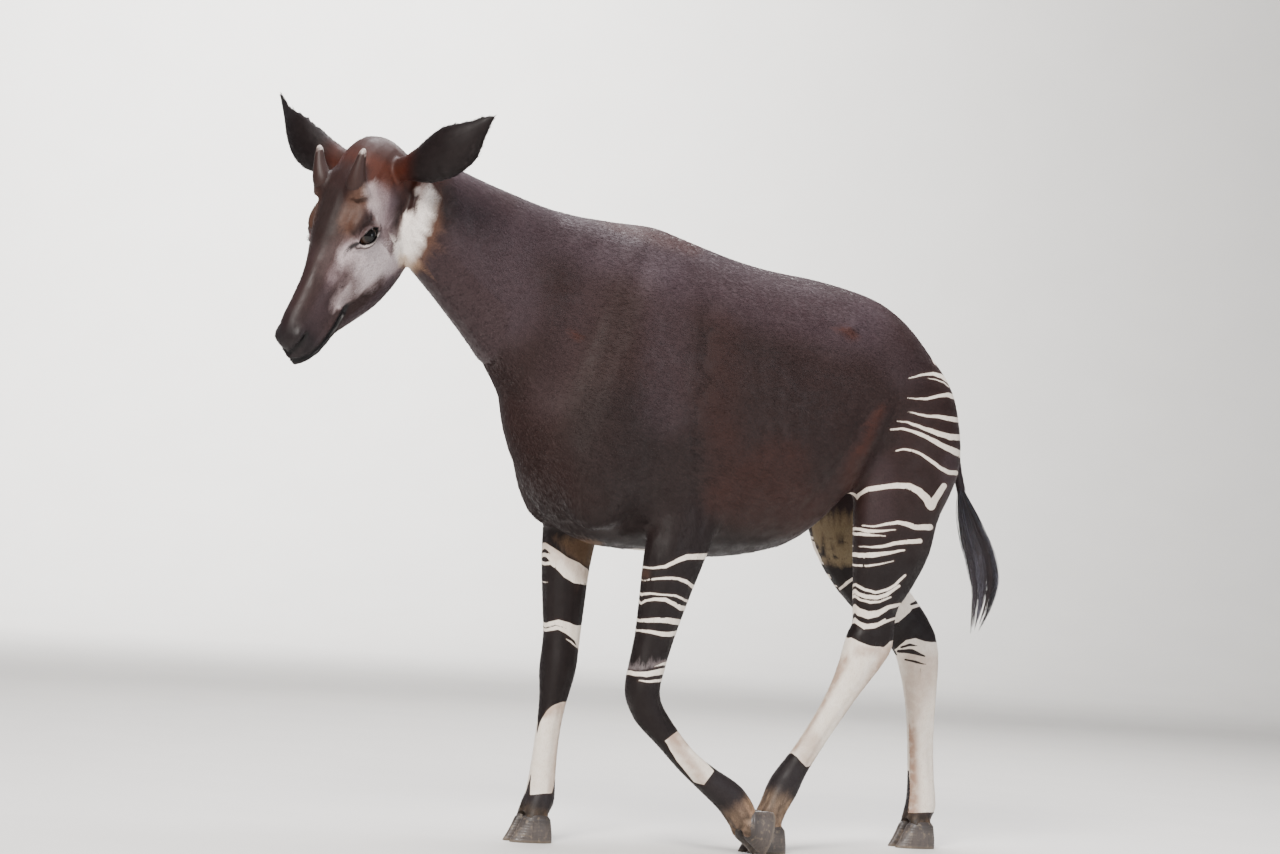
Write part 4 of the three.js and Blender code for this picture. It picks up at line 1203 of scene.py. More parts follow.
def sculpt(co, normals):
    """Presses the folds, muscles and bones into the skin, and shapes the lids round each eye."""
    head, is_head, ear, legs = part_weights(co)
    back = camera_frame()[3]
    sign = np.where(co[:, 1] > 0, -1.0, 1.0)
    turned = normals.copy()
    turned[:, 1] *= sign
    mirrored = co.copy()
    mirrored[:, 1] *= sign
    facing = smooth((turned @ back) / 0.35) * (1 - is_head)
    press(co, normals, in_photo(mirrored), BODY_FORMS, facing)

    way = normals @ HEAD_AXES.T
    way[:, 1] *= np.where(head[:, 1] < 0, -1.0, 1.0)
    facing = smooth((from_head(way) - HEAD_ORIGIN) @ back / 0.3) * is_head * (1 - ear)
    press(co, normals, face_places(head), HEAD_FORMS, facing)
    leg_forms(co, normals, legs)
    for side in (-1, 1):
        horn_base(co, side)
        lid_forms(co, side)
    return co


def leg_forms(co, normals, legs):
    """Tendons, the bones of knee and hock, and the groove down the back of each cannon."""
    for name, (rows, _) in LEGS.items():
        chosen = np.where((legs[name] < 1.3) & (co[:, 2] < 0.72))[0]
        p = co[chosen]
        _, row = leg_places(p, rows)
        at, down = row_values(rows, row)
        across, forward = leg_axes(down)
        d = p - at[:, :3]
        f = np.einsum("ij,ij->i", d, forward) / np.maximum(at[:, 3], at[:, 4])
        s = np.abs(np.einsum("ij,ij->i", d, across)) / at[:, 5]
        last = len(rows) - 1
        cannon = smooth((row - (last - 4.0)) / 0.5) * smooth((last - 1.2 - row) / 0.5)
        groove = np.exp(-(((f + 0.30) / 0.22) ** 2)) * smooth(s / 0.6)
        move = -0.0032 * cannon * groove
        knee = np.exp(-(((row - (last - 4.0)) / 0.45) ** 2))
        move += 0.0022 * knee * np.exp(-(((f - 0.55) / 0.3) ** 2))
        move -= 0.0024 * knee * np.exp(-(((f + 0.25) / 0.2) ** 2)) * smooth(s / 0.5)
        split = smooth((row - (last - 0.9)) / 0.5) * np.exp(-((s / 0.22) ** 2))
        move -= 0.0050 * split
        co[chosen] += normals[chosen] * move[:, None]


def horn_base(co, side):
    """The skin climbs the root of each ossicone."""
    head = to_head(co)
    flip = np.array((1, side, 1))
    root = np.array(OSSICONE_ROOT) * flip
    way = unit(np.array(OSSICONE_BEND) * flip - root)
    d = head - root
    along = d @ way
    off = np.linalg.norm(d - along[:, None] * way, axis=1)
    lift = 0.016 * np.exp(-((off / 0.036) ** 2)) * (np.abs(along) < 0.05)
    co += lift[:, None] * (way @ HEAD_AXES)


def lid_forms(co, side):
    """Two lids that lie on the ball of the eye, with a crease round them."""
    outward = eye_axes(side)[3]
    u, v, w = eye_places(to_head(co), side)
    near = np.where((np.hypot(u / 1.25, v) < 0.042) & (w > -0.012))[0]
    u, v, w = u[near], v[near], w[near]
    inside, upper = lid_share(u, v)
    ball = np.sqrt(np.clip(LID_BALL**2 - u**2 - v**2, 0, None))
    pit = np.maximum(ball - 0.005, 0.004)
    lid = np.maximum(ball, LID_CORNER) + 0.0024
    rise = smooth(-inside / 0.0016 + 0.5)
    out = np.clip(-inside, 0, None)
    crease = -0.0022 * np.exp(-(((out - 0.0085 - 0.002 * upper) / 0.0024) ** 2)) * (0.5 + 0.8 * upper)
    roll = 0.0012 * np.exp(-(((out - 0.0045) / 0.003) ** 2))
    target = pit + (lid + crease + roll - pit) * rise
    keep = smooth((out - 0.006) / 0.016)
    # beyond the lids the bone's own surface takes over
    new = target * (1 - keep) + (w + crease) * keep
    move = (new - w)[:, None] * outward
    co[near] += move @ HEAD_AXES


def finer(obj, chosen):
    """Divides the faces whose corners are all chosen."""
    only(obj)
    mesh = obj.data
    mesh.polygons.foreach_set("select", np.zeros(len(mesh.polygons), bool))
    mesh.edges.foreach_set("select", np.zeros(len(mesh.edges), bool))
    mesh.vertices.foreach_set("select", chosen)
    bpy.ops.object.mode_set(mode="EDIT")
    bpy.ops.mesh.select_mode(type="VERT")
    bpy.ops.mesh.select_mode(type="FACE")
    bpy.ops.mesh.subdivide(number_cuts=1)
    bpy.ops.object.mode_set(mode="OBJECT")


def halve(obj, chosen):
    """Halves the chosen edges."""
    work = bmesh.new()
    work.from_mesh(obj.data)
    work.edges.ensure_lookup_table()
    bmesh.ops.subdivide_edges(work, edges=[work.edges[i] for i in np.where(chosen)[0]], cuts=1)
    bmesh.ops.triangulate(work, faces=[face for face in work.faces if len(face.verts) > 3])
    work.to_mesh(obj.data)
    work.free()


class OKAPI_OT_skin(bpy.types.Operator):
    """One skin over all the flesh, with its folds, lids and markings"""

    bl_idname = "okapi.skin"
    bl_label = "Skin"

    def execute(self, context):
        looks = context.scene.okapi
        shift = frame_shift()
        names = flesh_names(cad_nodes())
        skin = merged_copy([*names, "eye_left", "eye_right"], "okapi_skin")
        voxel = looks.voxel * 1
        apply_modifier(skin, "REMESH", mode="VOXEL", voxel_size=voxel, use_smooth_shade=True)
        mesh = skin.data
        co, _ = mesh_arrays(mesh)
        set_places(mesh, self.even_out(co - shift, edges_of(mesh), looks.body_rounds))
        faces = len(mesh.polygons) * 2
        apply_modifier(skin, "DECIMATE", ratio=min(1.0, looks.skin_faces / faces))
        self.refine_face(skin)
        self.refine_marks(skin)
        mesh = skin.data
        co, normals = mesh_arrays(mesh)
        co -= normals * COAT_DEPTH
        co = relax(co, edges_of(mesh), 1 - part_weights(co)[1], 4, KEEPS_VOLUME)
        co = sculpt(co, normals)
        head = to_head(co)
        near = to_mouth(face_places(head))
        co = relax(co, edges_of(mesh), 0.6 * smooth((7 - near) / 3) * (head[:, 0] > 0.10), 3)
        set_places(mesh, co)
        co, normals = mesh_arrays(mesh)
        colour, white, dust_and_shade = markings(co, normals)
        float_attribute(mesh, "white_dust_and_shade", dust_and_shade)
        colour_attribute(mesh, "coat_colour", colour)
        float_attribute(mesh, "white_edge", white)
        set_places(mesh, co + shift)
        mesh.materials.append(coat_material(looks, "okapi_skin", True))
        only(skin)
        bpy.ops.object.shade_smooth()
        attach(skin, "root")
        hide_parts(*names)
        return {"FINISHED"}

    def even_out(self, co, edges, body_rounds):
        """Smooths the joins of the solids away: most on the trunk, least on the muzzle and the ears."""
        scale = 1
        head, is_head, ear, _ = part_weights(co)
        limb = smooth((0.86 - co[:, 2]) / 0.1)
        tail = smooth((co[:, 0] - 0.93) / 0.02) * (co[:, 2] > 0.86) * (np.abs(co[:, 1]) < 0.06)
        torso = (1 - limb) * (1 - is_head) * (1 - tail)
        muzzle = smooth((head[:, 0] - 0.17) / 0.06)
        nose = smooth((head[:, 0] - 0.03) / 0.03) * smooth((0.25 - head[:, 0]) / 0.04)
        nose *= smooth((head[:, 2] + 0.05) / 0.03)
        co = relax(co, edges, torso, int(body_rounds * scale))
        co = relax(co, edges, np.maximum(limb, tail), int(14 * scale), KEEPS_VOLUME)
        co = relax(co, edges, is_head * (1 - muzzle) * (1 - 0.8 * ear), int(40 * scale), KEEPS_VOLUME)
        co = relax(co, edges, is_head * nose, int(14 * scale))
        rounds = max(int(5 * scale), 1)
        return relax(co, edges, is_head * np.maximum(muzzle * 0.8, ear * 0.8), rounds, KEEPS_VOLUME)

    def refine_face(self, skin):
        """Smaller faces round the eyes, the nostrils and the mouth."""
        for reach, lids_only in ((0.055, False), (0.050, False), (0.045, True)):
            co, _ = mesh_arrays(skin.data)
            head = to_head(co)
            chosen = np.zeros(len(co), bool)
            for side in (-1, 1):
                u, v, w = eye_places(head, side)
                near = (np.hypot(u / 1.2, v) < reach) & (w > -0.02)
                if lids_only:
                    near &= np.abs(lid_share(u, v)[0]) < 0.007
                chosen |= near
            if not lids_only:
                chosen |= (to_mouth(face_places(head)) < reach * 80) & (head[:, 0] > 0.12)
            finer(skin, chosen)

    def refine_marks(self, skin):
        """Short edges wherever the rim of a mark runs."""
        for _ in range(5):
            co, normals = mesh_arrays(skin.data)
            white = np.abs(markings(co, normals)[1])
            a, b = edges_of(skin.data).T
            long = np.linalg.norm(co[a] - co[b], axis=1)
            halve(skin, (np.minimum(white[a], white[b]) < 0.3 * long) & (long > MARK_GRAIN))


class OKAPI_OT_eyes(bpy.types.Operator):
    """The eyes, with lashes on the upper lids"""

    bl_idname = "okapi.eyes"
    bl_label = "Eyes"

    def execute(self, context):
        shift = frame_shift()
        looks = context.scene.okapi
        material = eye_material()
        lash = Nodes("okapi_lash").finish(Base_Color=(0.012, 0.010, 0.010, 1), Roughness=0.5)
        for side, node in ((1, "eye_left"), (-1, "eye_right")):
            centre, along, over, outward = eye_axes(side)
            place = from_head(centre[None])[0] + shift
            u, v, w = along @ HEAD_AXES, over @ HEAD_AXES, outward @ HEAD_AXES
            bpy.ops.mesh.primitive_uv_sphere_add(segments=64, ring_count=40, radius=looks.eye_radius)
            eye = context.object
            eye.name = f"okapi_{node}"
            co, _ = mesh_arrays(eye.data)
            local = co.copy()
            bulge = np.exp(-((np.hypot(local[:, 0], local[:, 1]) / 0.011) ** 2)) * (local[:, 2] > 0)
            local[:, 2] += 0.0012 * bulge
            float_attribute(eye.data, "iris_along", local[:, 0])
            float_attribute(eye.data, "iris_over", local[:, 1])
            float_attribute(eye.data, "iris_out", local[:, 2])
            set_places(eye.data, place + local @ np.array((u, v, w)))
            eye.data.materials.append(material)
            tidy(eye)
            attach(eye, "root")
            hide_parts(node)
            lashes = self.lashes(place, u, v, w, lash)
            lashes.name = f"okapi_lashes_{'left' if side > 0 else 'right'}"
            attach(lashes, "root")
        return {"FINISHED"}

    def lashes(self, place, u, v, w, material):
        """Lashes along the upper lid, longest in its middle."""
        draw = np.random.default_rng(5)
        parts = []
        for a in np.linspace(-0.9, 0.86, 54):
            along = a * EYE_REACH
            height = LID_UPPER * (1 - a * a) ** 0.75 + 0.1 * along
            out = math.sqrt(max(LID_BALL**2 - along**2 - height**2, LID_CORNER**2)) + 0.0022
            root = place + along * u + height * v + out * w
            long = (0.013 + 0.004 * draw.random()) * (1 - 0.35 * abs(a))
            sweep = u * (a * 0.5 + 0.2 * (draw.random() - 0.5)) + w * 0.9 + v * (0.1 + 0.25 * draw.random())
            sweep = unit(sweep)
            droop = unit(v * 0.5 - w * 0.2)
            rings = []
            for t, r in ((-0.12, 0.00035), (0.3, 0.00030), (0.65, 0.0002), (1.0, 0.00005)):
                middle = root + sweep * (long * t) + droop * (0.004 * (t * t - 0.8 * t))
                b = unit(np.cross(sweep, v))
                c = np.cross(sweep, b)
                rings.append([middle + r * (math.cos(x) * b + math.sin(x) * c) for x in THREE_WAYS])
            parts.append(tube(rings))
        return solid_from("lashes", parts, material)


class OKAPI_OT_ossicones(bpy.types.Operator):
    """The two ossicones, with bare polished tips"""

    bl_idname = "okapi.ossicones"
    bl_label = "Ossicones"

    def execute(self, context):
        shift = frame_shift()
        material = horn_material()
        for side, node in ((1, "ossicone_left"), (-1, "ossicone_right")):
            flip = np.array((1, side, 1))
            root = np.array(OSSICONE_ROOT) * flip
            bend = np.array(OSSICONE_BEND) * flip
            tip = np.array(OSSICONE_END) * flip
            pull = 2 * bend - (root + tip) / 2
            rings, share = [], []
            rows = [OSSICONE_FOOT] + [(0.3 + 0.7 * a, b * 0.86) for a, b in OSSICONE_RINGS]
            for t, r in rows:
                middle = (1 - t) ** 2 * root + 2 * t * (1 - t) * pull + t * t * tip
                along = unit(2 * (1 - t) * (pull - root) + 2 * t * (tip - pull))
                b = unit(np.cross(along, (0, 1, 0)))
                c = np.cross(along, b)
                around = np.linspace(0, 2 * math.pi, OSSICONE_SIDES + 1)[:-1]
                rings.append([middle + r * (math.cos(x) * b * 1.04 + math.sin(x) * c * 0.94) for x in around])
                share += [t] * OSSICONE_SIDES
            rings = from_head(np.array(rings).reshape(-1, 3)) + shift
            horn = solid_from(f"okapi_{node}", [tube(rings.reshape(-1, OSSICONE_SIDES, 3))], material)
            float_attribute(horn.data, "towards_tip", [*share, rows[0][0], 1.0])
            apply_modifier(horn, "SUBSURF", levels=1, render_levels=1)
            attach(horn, "root")
            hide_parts(node)
        return {"FINISHED"}


class OKAPI_OT_hooves(bpy.types.Operator):
    """The eight hooves, two to a foot, with their growth rings"""

    bl_idname = "okapi.hooves"
    bl_label = "Hooves"

    def execute(self, context):
        shift = frame_shift()
        material = hoof_material()
        around = np.linspace(0, 2 * math.pi, HOOF_SIDES + 1)[:-1]
        rows = np.array(TOE_ROWS)
        heights = np.concatenate(([0.0], np.linspace(HOOF_EDGE, HOOF_TOP, 24), [0.062, 0.066, 0.071, 0.074]))
        for leg, (place, flexed, splay) in FEET.items():
            splayed = Matrix.Rotation(math.radians(splay), 3, "Z")
            turn = np.array(splayed @ Matrix.Rotation(math.radians(-flexed), 3, "Y"))
            for side, hand in ((-1, "left"), (1, "right")):
                rings, over = [], []
                for h in heights:
                    front, back, half = (np.interp(h, rows[:, 0], rows[:, k]) for k in (1, 2, 3))
                    ripple = 0.00035 * math.sin(h * HOOF_RINGS) * (HOOF_EDGE < h < HOOF_TOP)
                    c, s = np.cos(around), np.sin(around)
                    y = np.sign(c) * np.abs(c) ** 0.95 * (half + ripple)
                    inner = np.where(y * side < 0, 0.94, 1.0)
                    x = np.where(s > 0, -s * (front + ripple), -s * (back + ripple))
                    pull = 0.006 * np.clip(s, 0, 1) ** 3
                    y = y * inner * (1 - 0.16 * np.clip(s, 0, 1) ** 2) - side * pull
                    rings.append(np.stack((x, side * TOE_APART + y, np.full(HOOF_SIDES, h)), 1))
                    over += [h] * HOOF_SIDES
                co = np.array(rings).reshape(-1, 3) @ turn.T + np.array(place) + shift
                name = f"{leg}_hoof_{hand}"
                hoof = solid_from(f"okapi_{name}", [tube(co.reshape(-1, HOOF_SIDES, 3))], material)
                float_attribute(hoof.data, "over_sole", [*over, 0.0, heights[-1]])
                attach(hoof, "root")
                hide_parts(name)
        return {"FINISHED"}


def along_line(places, t):
    """Points on a smooth line through places, for shares t of its length."""
    places = np.asarray(places, float)
    x = np.linspace(0, 1, len(places))
    fine = np.linspace(0, 1, 200)
    co = np.stack([np.interp(fine, x, places[:, k]) for k in range(3)], 1)
    kernel = np.hanning(41)
    kernel /= kernel.sum()
    padded = np.vstack((2 * co[0] - co[20:0:-1], co, 2 * co[-1] - co[-2:-22:-1]))
    co = np.stack([np.convolve(padded[:, k], kernel, "valid") for k in range(3)], 1)
    return np.stack([np.interp(t, fine, co[:, k]) for k in range(3)], 1)


class OKAPI_OT_tail(bpy.types.Operator):
    """The hair at the end of the tail"""

    bl_idname = "okapi.tail"
    bl_label = "Tail hair"

    def execute(self, context):
        shift = frame_shift()
        looks = context.scene.okapi
        draw = np.random.default_rng(3)
        each = looks.tail_strands // (TAIL_LOCKS * 1)
        steps = np.linspace(0, 1, 10)
        sides = 3
        places, faces, shade, start = [], [], [], 0
        for i in range(TAIL_LOCKS * each):
            if i % each == 0:
                low = (i // each) / (TAIL_LOCKS - 1)
                angle = 2.4 * (i // each) + 0.6 * draw.random()
                out = np.array((math.cos(angle), math.sin(angle), 0.0))
                far = 0.35 + 0.65 * draw.random()
                end_lock = 0.55 + 0.30 * low + 0.15 * draw.random()
                tone = draw.random() ** 1.5
                across = np.array((-out[1], out[0], 0.0))
                drift = draw.normal(0, 0.004)
            begin = 0.02 + 0.30 * low * draw.random()
            end = min(1.0, end_lock * (0.86 + 0.16 * draw.random()))
            t = begin + (end - begin) * steps
            line = along_line(TUFT_LINE, t)
            profile = np.interp(t, *zip(*TUFT_SHAPE))
            spread = np.interp(steps, (0, 0.4, 0.8, 1), (0.3, 1.0, 0.6, 0.15)) * 0.0052
            wave = 0.0012 * np.sin(steps * (4 + 3 * draw.random()) + 6 * draw.random())
            line = line + out * (far * profile + wave * steps + draw.normal() * spread)[:, None]
            line += across * (draw.normal() * spread + drift * steps)[:, None]
            radius = np.interp(steps, (0, 0.5, 1), (0.0008, 0.0007, 0.0001)) * (0.8 + 0.6 * draw.random())
            b = unit(np.cross(np.gradient(line, axis=0), out + 0.01))
            c = unit(np.cross(np.gradient(line, axis=0), b))
            spokes = [math.cos(x) * b + math.sin(x) * 0.6 * c for x in THREE_WAYS]
            rings = [line + radius[:, None] * spoke for spoke in spokes]
            places.append(np.stack(rings, 1).reshape(-1, 3))
            for r in range(len(steps) - 1):
                for k in range(sides):
                    j = (k + 1) % sides
                    a0, a1 = start + r * sides + k, start + r * sides + j
                    faces += [(a0, a1, a1 + sides), (a0, a1 + sides, a0 + sides)]
            last = start + (len(steps) - 1) * sides
            faces += [(start + 2, start + 1, start), (last, last + 1, last + 2)]
            shade += [0.65 * tone + 0.35 * draw.random()] * (len(steps) * sides)
            start += len(steps) * sides
        co = np.vstack(places) + shift
        low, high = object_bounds()
        co = np.clip(co, np.array(low) - 0.02, np.array(high) + 0.02)
        hair = new_mesh("okapi_tail_hair", co, faces, tail_material())
        float_attribute(hair.data, "strand_shade", shade)
        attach(hair, "root")
        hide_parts("tail_tuft")
        return {"FINISHED"}


def hair_lie(points, normals, head, is_head, ear):
    """The way the hair lies: back along the body, down the legs, up the face, out along the ears."""
    lie = np.tile(np.array((0.95, 0.0, -0.28)), (len(points), 1))
    lie[:, 1] = np.sign(points[:, 1]) * 0.05
    down = smooth((0.95 - points[:, 2]) / 0.25)[:, None]
    lie = lie * (1 - down) + np.array((0.12, 0, -1.0)) * down
    neck = smooth((-0.3 - points[:, 0]) / 0.1)[:, None]
    lie = lie * (1 - neck) + np.array((0.75, 0, -0.65)) * neck
    tail = ((points[:, 0] > 0.955) & (points[:, 2] > 0.86) & (np.abs(points[:, 1]) < 0.06))[:, None]
    lie = np.where(tail, np.array((0.25, 0, -1.0)), lie)
    face = -HEAD_FORWARD * 0.9 - HEAD_TOP * 0.15
    outwards = np.sign(head[:, 1])[:, None] * HEAD_LEFT[None] * 0.9 + HEAD_TOP * 0.3 - HEAD_FORWARD * 0.35
    lie = lie * (1 - is_head[:, None]) + face * is_head[:, None]
    lie = lie * (1 - ear[:, None]) + outwards * ear[:, None]
    lie -= normals * np.einsum("ij,ij->i", lie, normals)[:, None]
    return unit(lie)


# How many tufts each region has, and how long they are
TUFTS = {
    "head": (30000, 0.007),
    "ears": (14000, 0.008),
    "neck": (40000, 0.012),
    "shoulders": (47000, 0.013),
    "barrel": (48000, 0.013),
    "rump": (48000, 0.010),
    "forelegs": (34000, 0.0055),
    "hindlegs": (46000, 0.0055),
}


class OKAPI_OT_coat(bpy.types.Operator):
    """Short hair over the skin, in one piece for each region, lying the way it grows"""

    bl_idname = "okapi.coat"
    bl_label = "Coat"

    def execute(self, context):
        looks = context.scene.okapi
        shift = frame_shift()
        skin = bpy.data.objects["okapi_skin"]
        mesh = skin.data
        mesh.calc_loop_triangles()
        tri = np.zeros(len(mesh.loop_triangles) * 3, np.int32)
        mesh.loop_triangles.foreach_get("vertices", tri)
        tri = tri.reshape(-1, 3)
        co, no = mesh_arrays(mesh)
        co -= shift
        corner = co[tri[:, 0]]
        area = np.linalg.norm(np.cross(co[tri[:, 1]] - corner, co[tri[:, 2]] - corner), axis=1) / 2
        draw = np.random.default_rng(11)
        middle = co[tri].mean(1)
        _, is_head, ear, legs = part_weights(middle)
        away = np.min(list(legs.values()), axis=0)
        hind = (middle[:, 0] > 0.33) & (middle[:, 2] < 0.9)
        regions = {
            "shoulders": middle[:, 0] < 0.2,
            "rump": middle[:, 0] > 0.62,
            "neck": middle[:, 0] < -0.28,
            "forelegs": (away < 1.25) & (middle[:, 2] < 0.80) & ~hind,
            "hindlegs": (away < 1.3) & hind,
            "head": is_head > 0.5,
            "ears": ear > 0.5,
        }
        region = np.full(len(tri), list(TUFTS).index("barrel"))
        for name, inside in regions.items():
            region[inside] = list(TUFTS).index(name)
        material = coat_material(looks, "okapi_coat", False)
        for k, (name, (tufts, _)) in enumerate(TUFTS.items()):
            chosen = np.where(region == k)[0]
            count = int(tufts * looks.coat_share * (1))
            picked = chosen[draw.choice(len(chosen), count, p=area[chosen] / area[chosen].sum())]
            a, b = draw.random((2, count))
            over = a + b > 1
            a, b = np.where(over, 1 - a, a)[:, None], np.where(over, 1 - b, b)[:, None]
            t = tri[picked]
            root = co[t[:, 0]] * (1 - a - b) + co[t[:, 1]] * a + co[t[:, 2]] * b
            up = unit(no[t[:, 0]] * (1 - a - b) + no[t[:, 1]] * a + no[t[:, 2]] * b)
            self.piece(name, root, up, draw, shift, material)
        return {"FINISHED"}

    def piece(self, name, root, up, draw, shift, material):
        head, is_head, ear, _ = part_weights(root)
        keep = np.ones(len(root), bool)
        if name == "head":
            for side in (-1, 1):
                u, v, w = eye_places(head, side)
                inside, _ = lid_share(u, v)
                keep &= ~((inside > -0.004) & (w > -0.01) & (np.hypot(u, v) < 0.05))
            q = face_places(head)
            keep &= (to_path(q, LIP_LINE)[0] > 2.2) & (to_path(q, NOSTRIL_LINE)[0] > 2.4)
        root, up = root[keep], up[keep]
        head, is_head, ear = head[keep], is_head[keep], ear[keep]
        count = len(root)
        lie = hair_lie(root, up, head, is_head, ear)
        across = np.cross(up, lie)
        sway = draw.normal(0, 0.16, count)[:, None]
        lie = unit(lie + across * sway)
        across = np.cross(up, lie)
        long = TUFTS[name][1] * (0.7 + 0.6 * draw.random(count))
        muzzle = smooth((head[:, 0] - 0.12) / 0.15) * is_head
        long *= 1 - 0.5 * muzzle
        if name in ("neck", "shoulders"):
            crest = smooth((up[:, 2] - 0.86) / 0.1) * smooth(1 - np.abs(root[:, 1] + 0.02) / 0.06)
            long *= 1 + 0.5 * crest
        colour, white, dust_and_shade = markings(root, up)
        long *= 0.5 + 0.5 * smooth((np.abs(white) - 0.002) / 0.02)
        wide = long * 0.05 + 0.0003
        rise = 0.03 + 0.07 * draw.random(count)
        if name == "ears":
            rise += 0.12
        long, wide, rise = long[:, None], wide[:, None], rise[:, None]
        base = root - up * ROOT_DEPTH
        tip = root + lie * long + up * (long * rise + 0.0004)
        ridge = root + up * (wide * 0.35 + 0.0001) + lie * long * 0.12
        verts = np.stack((base - across * wide, base + across * wide, ridge, tip), 1)
        faces = np.array(((0, 2, 1), (0, 1, 3), (1, 2, 3), (2, 0, 3)))
        faces = (faces[None] + 4 * np.arange(count)[:, None, None]).reshape(-1, 3)
        bend = np.stack((up - across * 0.35, up + across * 0.35, up, up + lie * 0.1), 1)
        _, white_tip, _ = markings(tip, up)
        whites = np.stack((white, white, white, white_tip), 1)
        shade = (0.90 + 0.20 * draw.random(count))[:, None]
        obj = new_mesh(f"okapi_coat_{name}", verts.reshape(-1, 3) + shift, faces, material)
        colour_attribute(obj.data, "coat_colour", np.repeat(np.clip(colour * shade, 0, 1), 4, axis=0))
        float_attribute(obj.data, "white_edge", whites.ravel())
        float_attribute(obj.data, "white_dust_and_shade", np.repeat(dust_and_shade, 4))
        obj.data.normals_split_custom_set_from_vertices(unit(bend).reshape(-1, 3).tolist())
        self.unwrap(obj, name, root, head, count)
        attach(obj, "root")

    def unwrap(self, obj, name, root, head, count):
        """Each tuft is a small patch at its root's place on the skin, rolled out round its own axis."""
        if name in ("head", "ears"):
            turn = np.arctan2(head[:, 1], head[:, 2] + 0.05)
            along = head[:, 0]
        elif name in ("forelegs", "hindlegs"):
            names = [n for n in LEGS if ("fore" in n) == (name == "forelegs")]
            away = np.array([leg_places(root, LEGS[n][0])[0] for n in names])
            chosen = away.argmin(0)
            turn, along = np.zeros(count), np.zeros(count)
            for k, leg in enumerate(names):
                at, down = row_values(LEGS[leg][0], leg_places(root, LEGS[leg][0])[1])
                across, forward = leg_axes(down)
                d = root - at[:, :3]
                angle = np.arctan2(np.einsum("ij,ij->i", d, across), np.einsum("ij,ij->i", d, forward))
                turn = np.where(chosen == k, (angle + math.pi) / 2 + (k - 1) * math.pi, turn)
                along = np.where(chosen == k, root[:, 2], along)
        else:
            turn = np.arctan2(root[:, 1], root[:, 2] - 1.1)
            along = root[:, 0]
        u = (turn + math.pi) / (2 * math.pi)
        v = (along - along.min()) / max(np.ptp(along), 1e-6)
        corner = np.array(((0, 0), (1, 0), (0.5, 0.2), (0.5, 1))) * TUFT_PATCH
        at = np.stack((u, v), 1) * 0.992 + 0.002
        uv = (at[:, None, :] + corner[None]).reshape(-1, 2)
        layer = obj.data.uv_layers.new(name="OFBake")
        index = np.zeros(len(obj.data.loops), np.int32)
        obj.data.loops.foreach_get("vertex_index", index)
        layer.data.foreach_set("uv", uv[index].astype(np.float32).ravel())


# Name, place, aim, width, power and colour
LIGHTS = (
    ("key", (-4.6, -4.6, 5.4), (0.0, 0.0, 1.0), 2.0, 1150, (1.0, 0.965, 0.92)),
    ("fill", (3.6, -6.5, 2.6), (0.1, 0.0, 0.9), 4.0, 210, (0.92, 0.95, 1.0)),
    ("top", (0.6, 0.6, 5.2), (0.1, 0.0, 1.0), 3.0, 520, (0.98, 0.97, 1.0)),
    ("wall", (3.0, 9.0, 5.5), (4.0, 13.5, 2.5), 5.0, 1500, (1.0, 1.0, 1.0)),
    ("rim", (3.2, 4.4, 3.6), (0.2, 0.0, 1.1), 2.4, 190, (1.0, 0.98, 0.95)),
)


class OKAPI_OT_stage(bpy.types.Operator):
    """A pale floor that curves up behind, soft studio light, and the camera at the photograph's angle"""

    bl_idname = "okapi.stage"
    bl_label = "Stage"

    def execute(self, context):
        scene = context.scene
        shift = frame_shift()
        eye, right, up, back = camera_frame()
        camera = bpy.data.cameras.new("camera")
        camera.sensor_width = SENSOR
        camera.lens = FOCAL_PIXELS * SENSOR / PHOTO_WIDTH
        camera.clip_end = 200
        holder = bpy.data.objects.new("camera", camera)
        scene.collection.objects.link(holder)
        matrix = Matrix.Identity(4)
        for column, axis in enumerate((right, up, back, eye + shift)):
            for row in range(3):
                matrix[row][column] = axis[row]
        holder.matrix_world = matrix
        scene.camera = holder
        self.floor(back)
        self.lights(scene)
        return {"FINISHED"}

    def floor(self, back):
        """A sweep: flat under the animal, and bent up into a wall far behind it."""
        reach, bend, height, front, half = 9.0, 4.0, 9.0, -14.0, 16.0
        profile = [(front, 0.0), (0.0, 0.0), (reach, 0.0)]
        for a in np.linspace(0, math.pi / 2, 13)[1:]:
            profile.append((reach + bend * math.sin(a), bend * (1 - math.cos(a))))
        profile.append((reach + bend, height))
        away = -back
        side = np.array((-away[1], away[0], 0.0))
        co = [away * d + side * s + np.array((0, 0, h)) for d, h in profile for s in (-half, half)]
        faces = [(2 * i, 2 * i + 1, 2 * i + 3, 2 * i + 2) for i in range(len(profile) - 1)]
        floor = new_mesh("studio_floor", co, faces, floor_material())
        floor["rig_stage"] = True

    def lights(self, scene):
        world = bpy.data.worlds.new("studio")
        world.use_nodes = True
        background = world.node_tree.nodes["Background"]
        background.inputs["Color"].default_value = (0.86, 0.88, 0.92, 1)
        background.inputs["Strength"].default_value = 0.42
        scene.world = world
        for name, place, aim, size, power, tint in LIGHTS:
            light = bpy.data.lights.new(name, "AREA")
            light.size = size
            light.energy = power
            light.color = tint
            lamp = bpy.data.objects.new(name, light)
            lamp.location = place
            lamp.rotation_mode = "QUATERNION"
            lamp.rotation_quaternion = (Vector(aim) - Vector(place)).to_track_quat("-Z", "Y")
            scene.collection.objects.link(lamp)


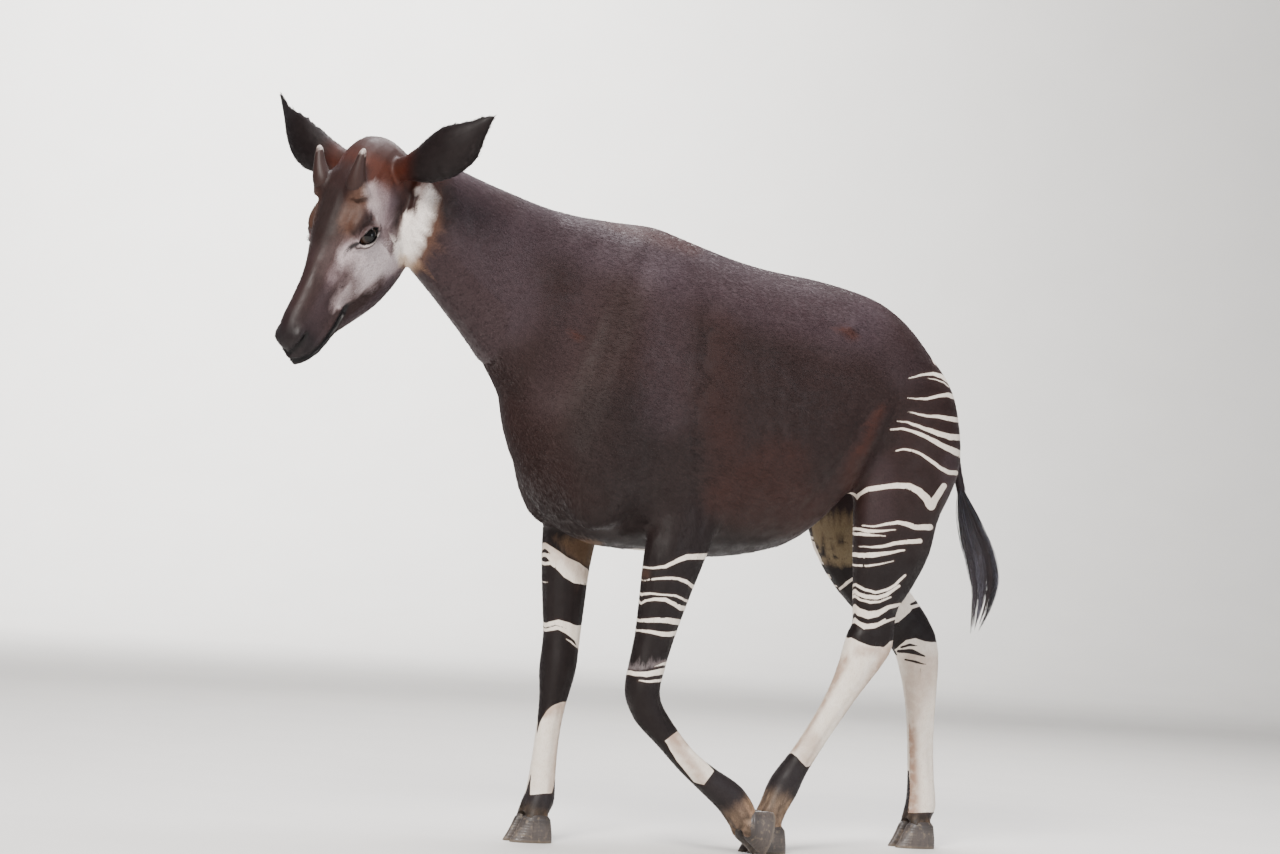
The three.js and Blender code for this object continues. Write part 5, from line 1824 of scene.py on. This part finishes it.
class OkapiLooks(bpy.types.PropertyGroup):
    """Sizes and colours of the okapi's looks"""

    voxel: FloatProperty(
        name="Skin grain", description="Size of the skin's first faces", default=0.004, unit="LENGTH"
    )
    body_rounds: IntProperty(
        name="Body smoothing", description="Rounds of smoothing on neck and trunk", default=110
    )
    skin_faces: IntProperty(
        name="Skin faces", description="Triangles in the skin before its marks are refined", default=43000
    )
    eye_radius: FloatProperty(
        name="Eye radius", description="Half the eyeball's width", default=0.0238, unit="LENGTH"
    )
    coat_share: FloatProperty(
        name="Coat share", description="How dense the coat is", default=1.0, subtype="FACTOR"
    )
    tail_strands: IntProperty(name="Tail strands", description="Hairs in the tail's tuft", default=1560)
    sheen: FloatProperty(
        name="Sheen", description="Soft shine of the short coat", default=0.035, subtype="FACTOR"
    )
    white_colour: FloatVectorProperty(
        name="White",
        description="Colour of the white stripes",
        default=(0.93, 0.90, 0.86),
        subtype="COLOR_GAMMA",
    )


class OKAPI_PT_panel(bpy.types.Panel):
    """The steps that build the okapi"""

    bl_idname = "OKAPI_PT_panel"
    bl_label = "Okapi"
    bl_space_type = "VIEW_3D"
    bl_region_type = "UI"
    bl_category = "Okapi"

    def draw(self, context):
        for step in STEPS:
            self.layout.operator(step.bl_idname)


STEPS = (
    OKAPI_OT_skin,
    OKAPI_OT_eyes,
    OKAPI_OT_ossicones,
    OKAPI_OT_hooves,
    OKAPI_OT_tail,
    OKAPI_OT_coat,
    OKAPI_OT_stage,
)
CLASSES = (OkapiLooks, *STEPS, OKAPI_PT_panel)


def register():
    for cls in CLASSES:
        bpy.utils.register_class(cls)
    bpy.types.Scene.okapi = PointerProperty(type=OkapiLooks)


def unregister():
    del bpy.types.Scene.okapi
    for cls in reversed(CLASSES):
        bpy.utils.unregister_class(cls)


def main():
    register()
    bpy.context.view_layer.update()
    bpy.ops.okapi.skin()
    bpy.ops.okapi.eyes()
    bpy.ops.okapi.ossicones()
    bpy.ops.okapi.hooves()
    bpy.ops.okapi.tail()
    bpy.ops.okapi.coat()
    bpy.ops.okapi.stage()


if __name__ == "__main__":
    main()
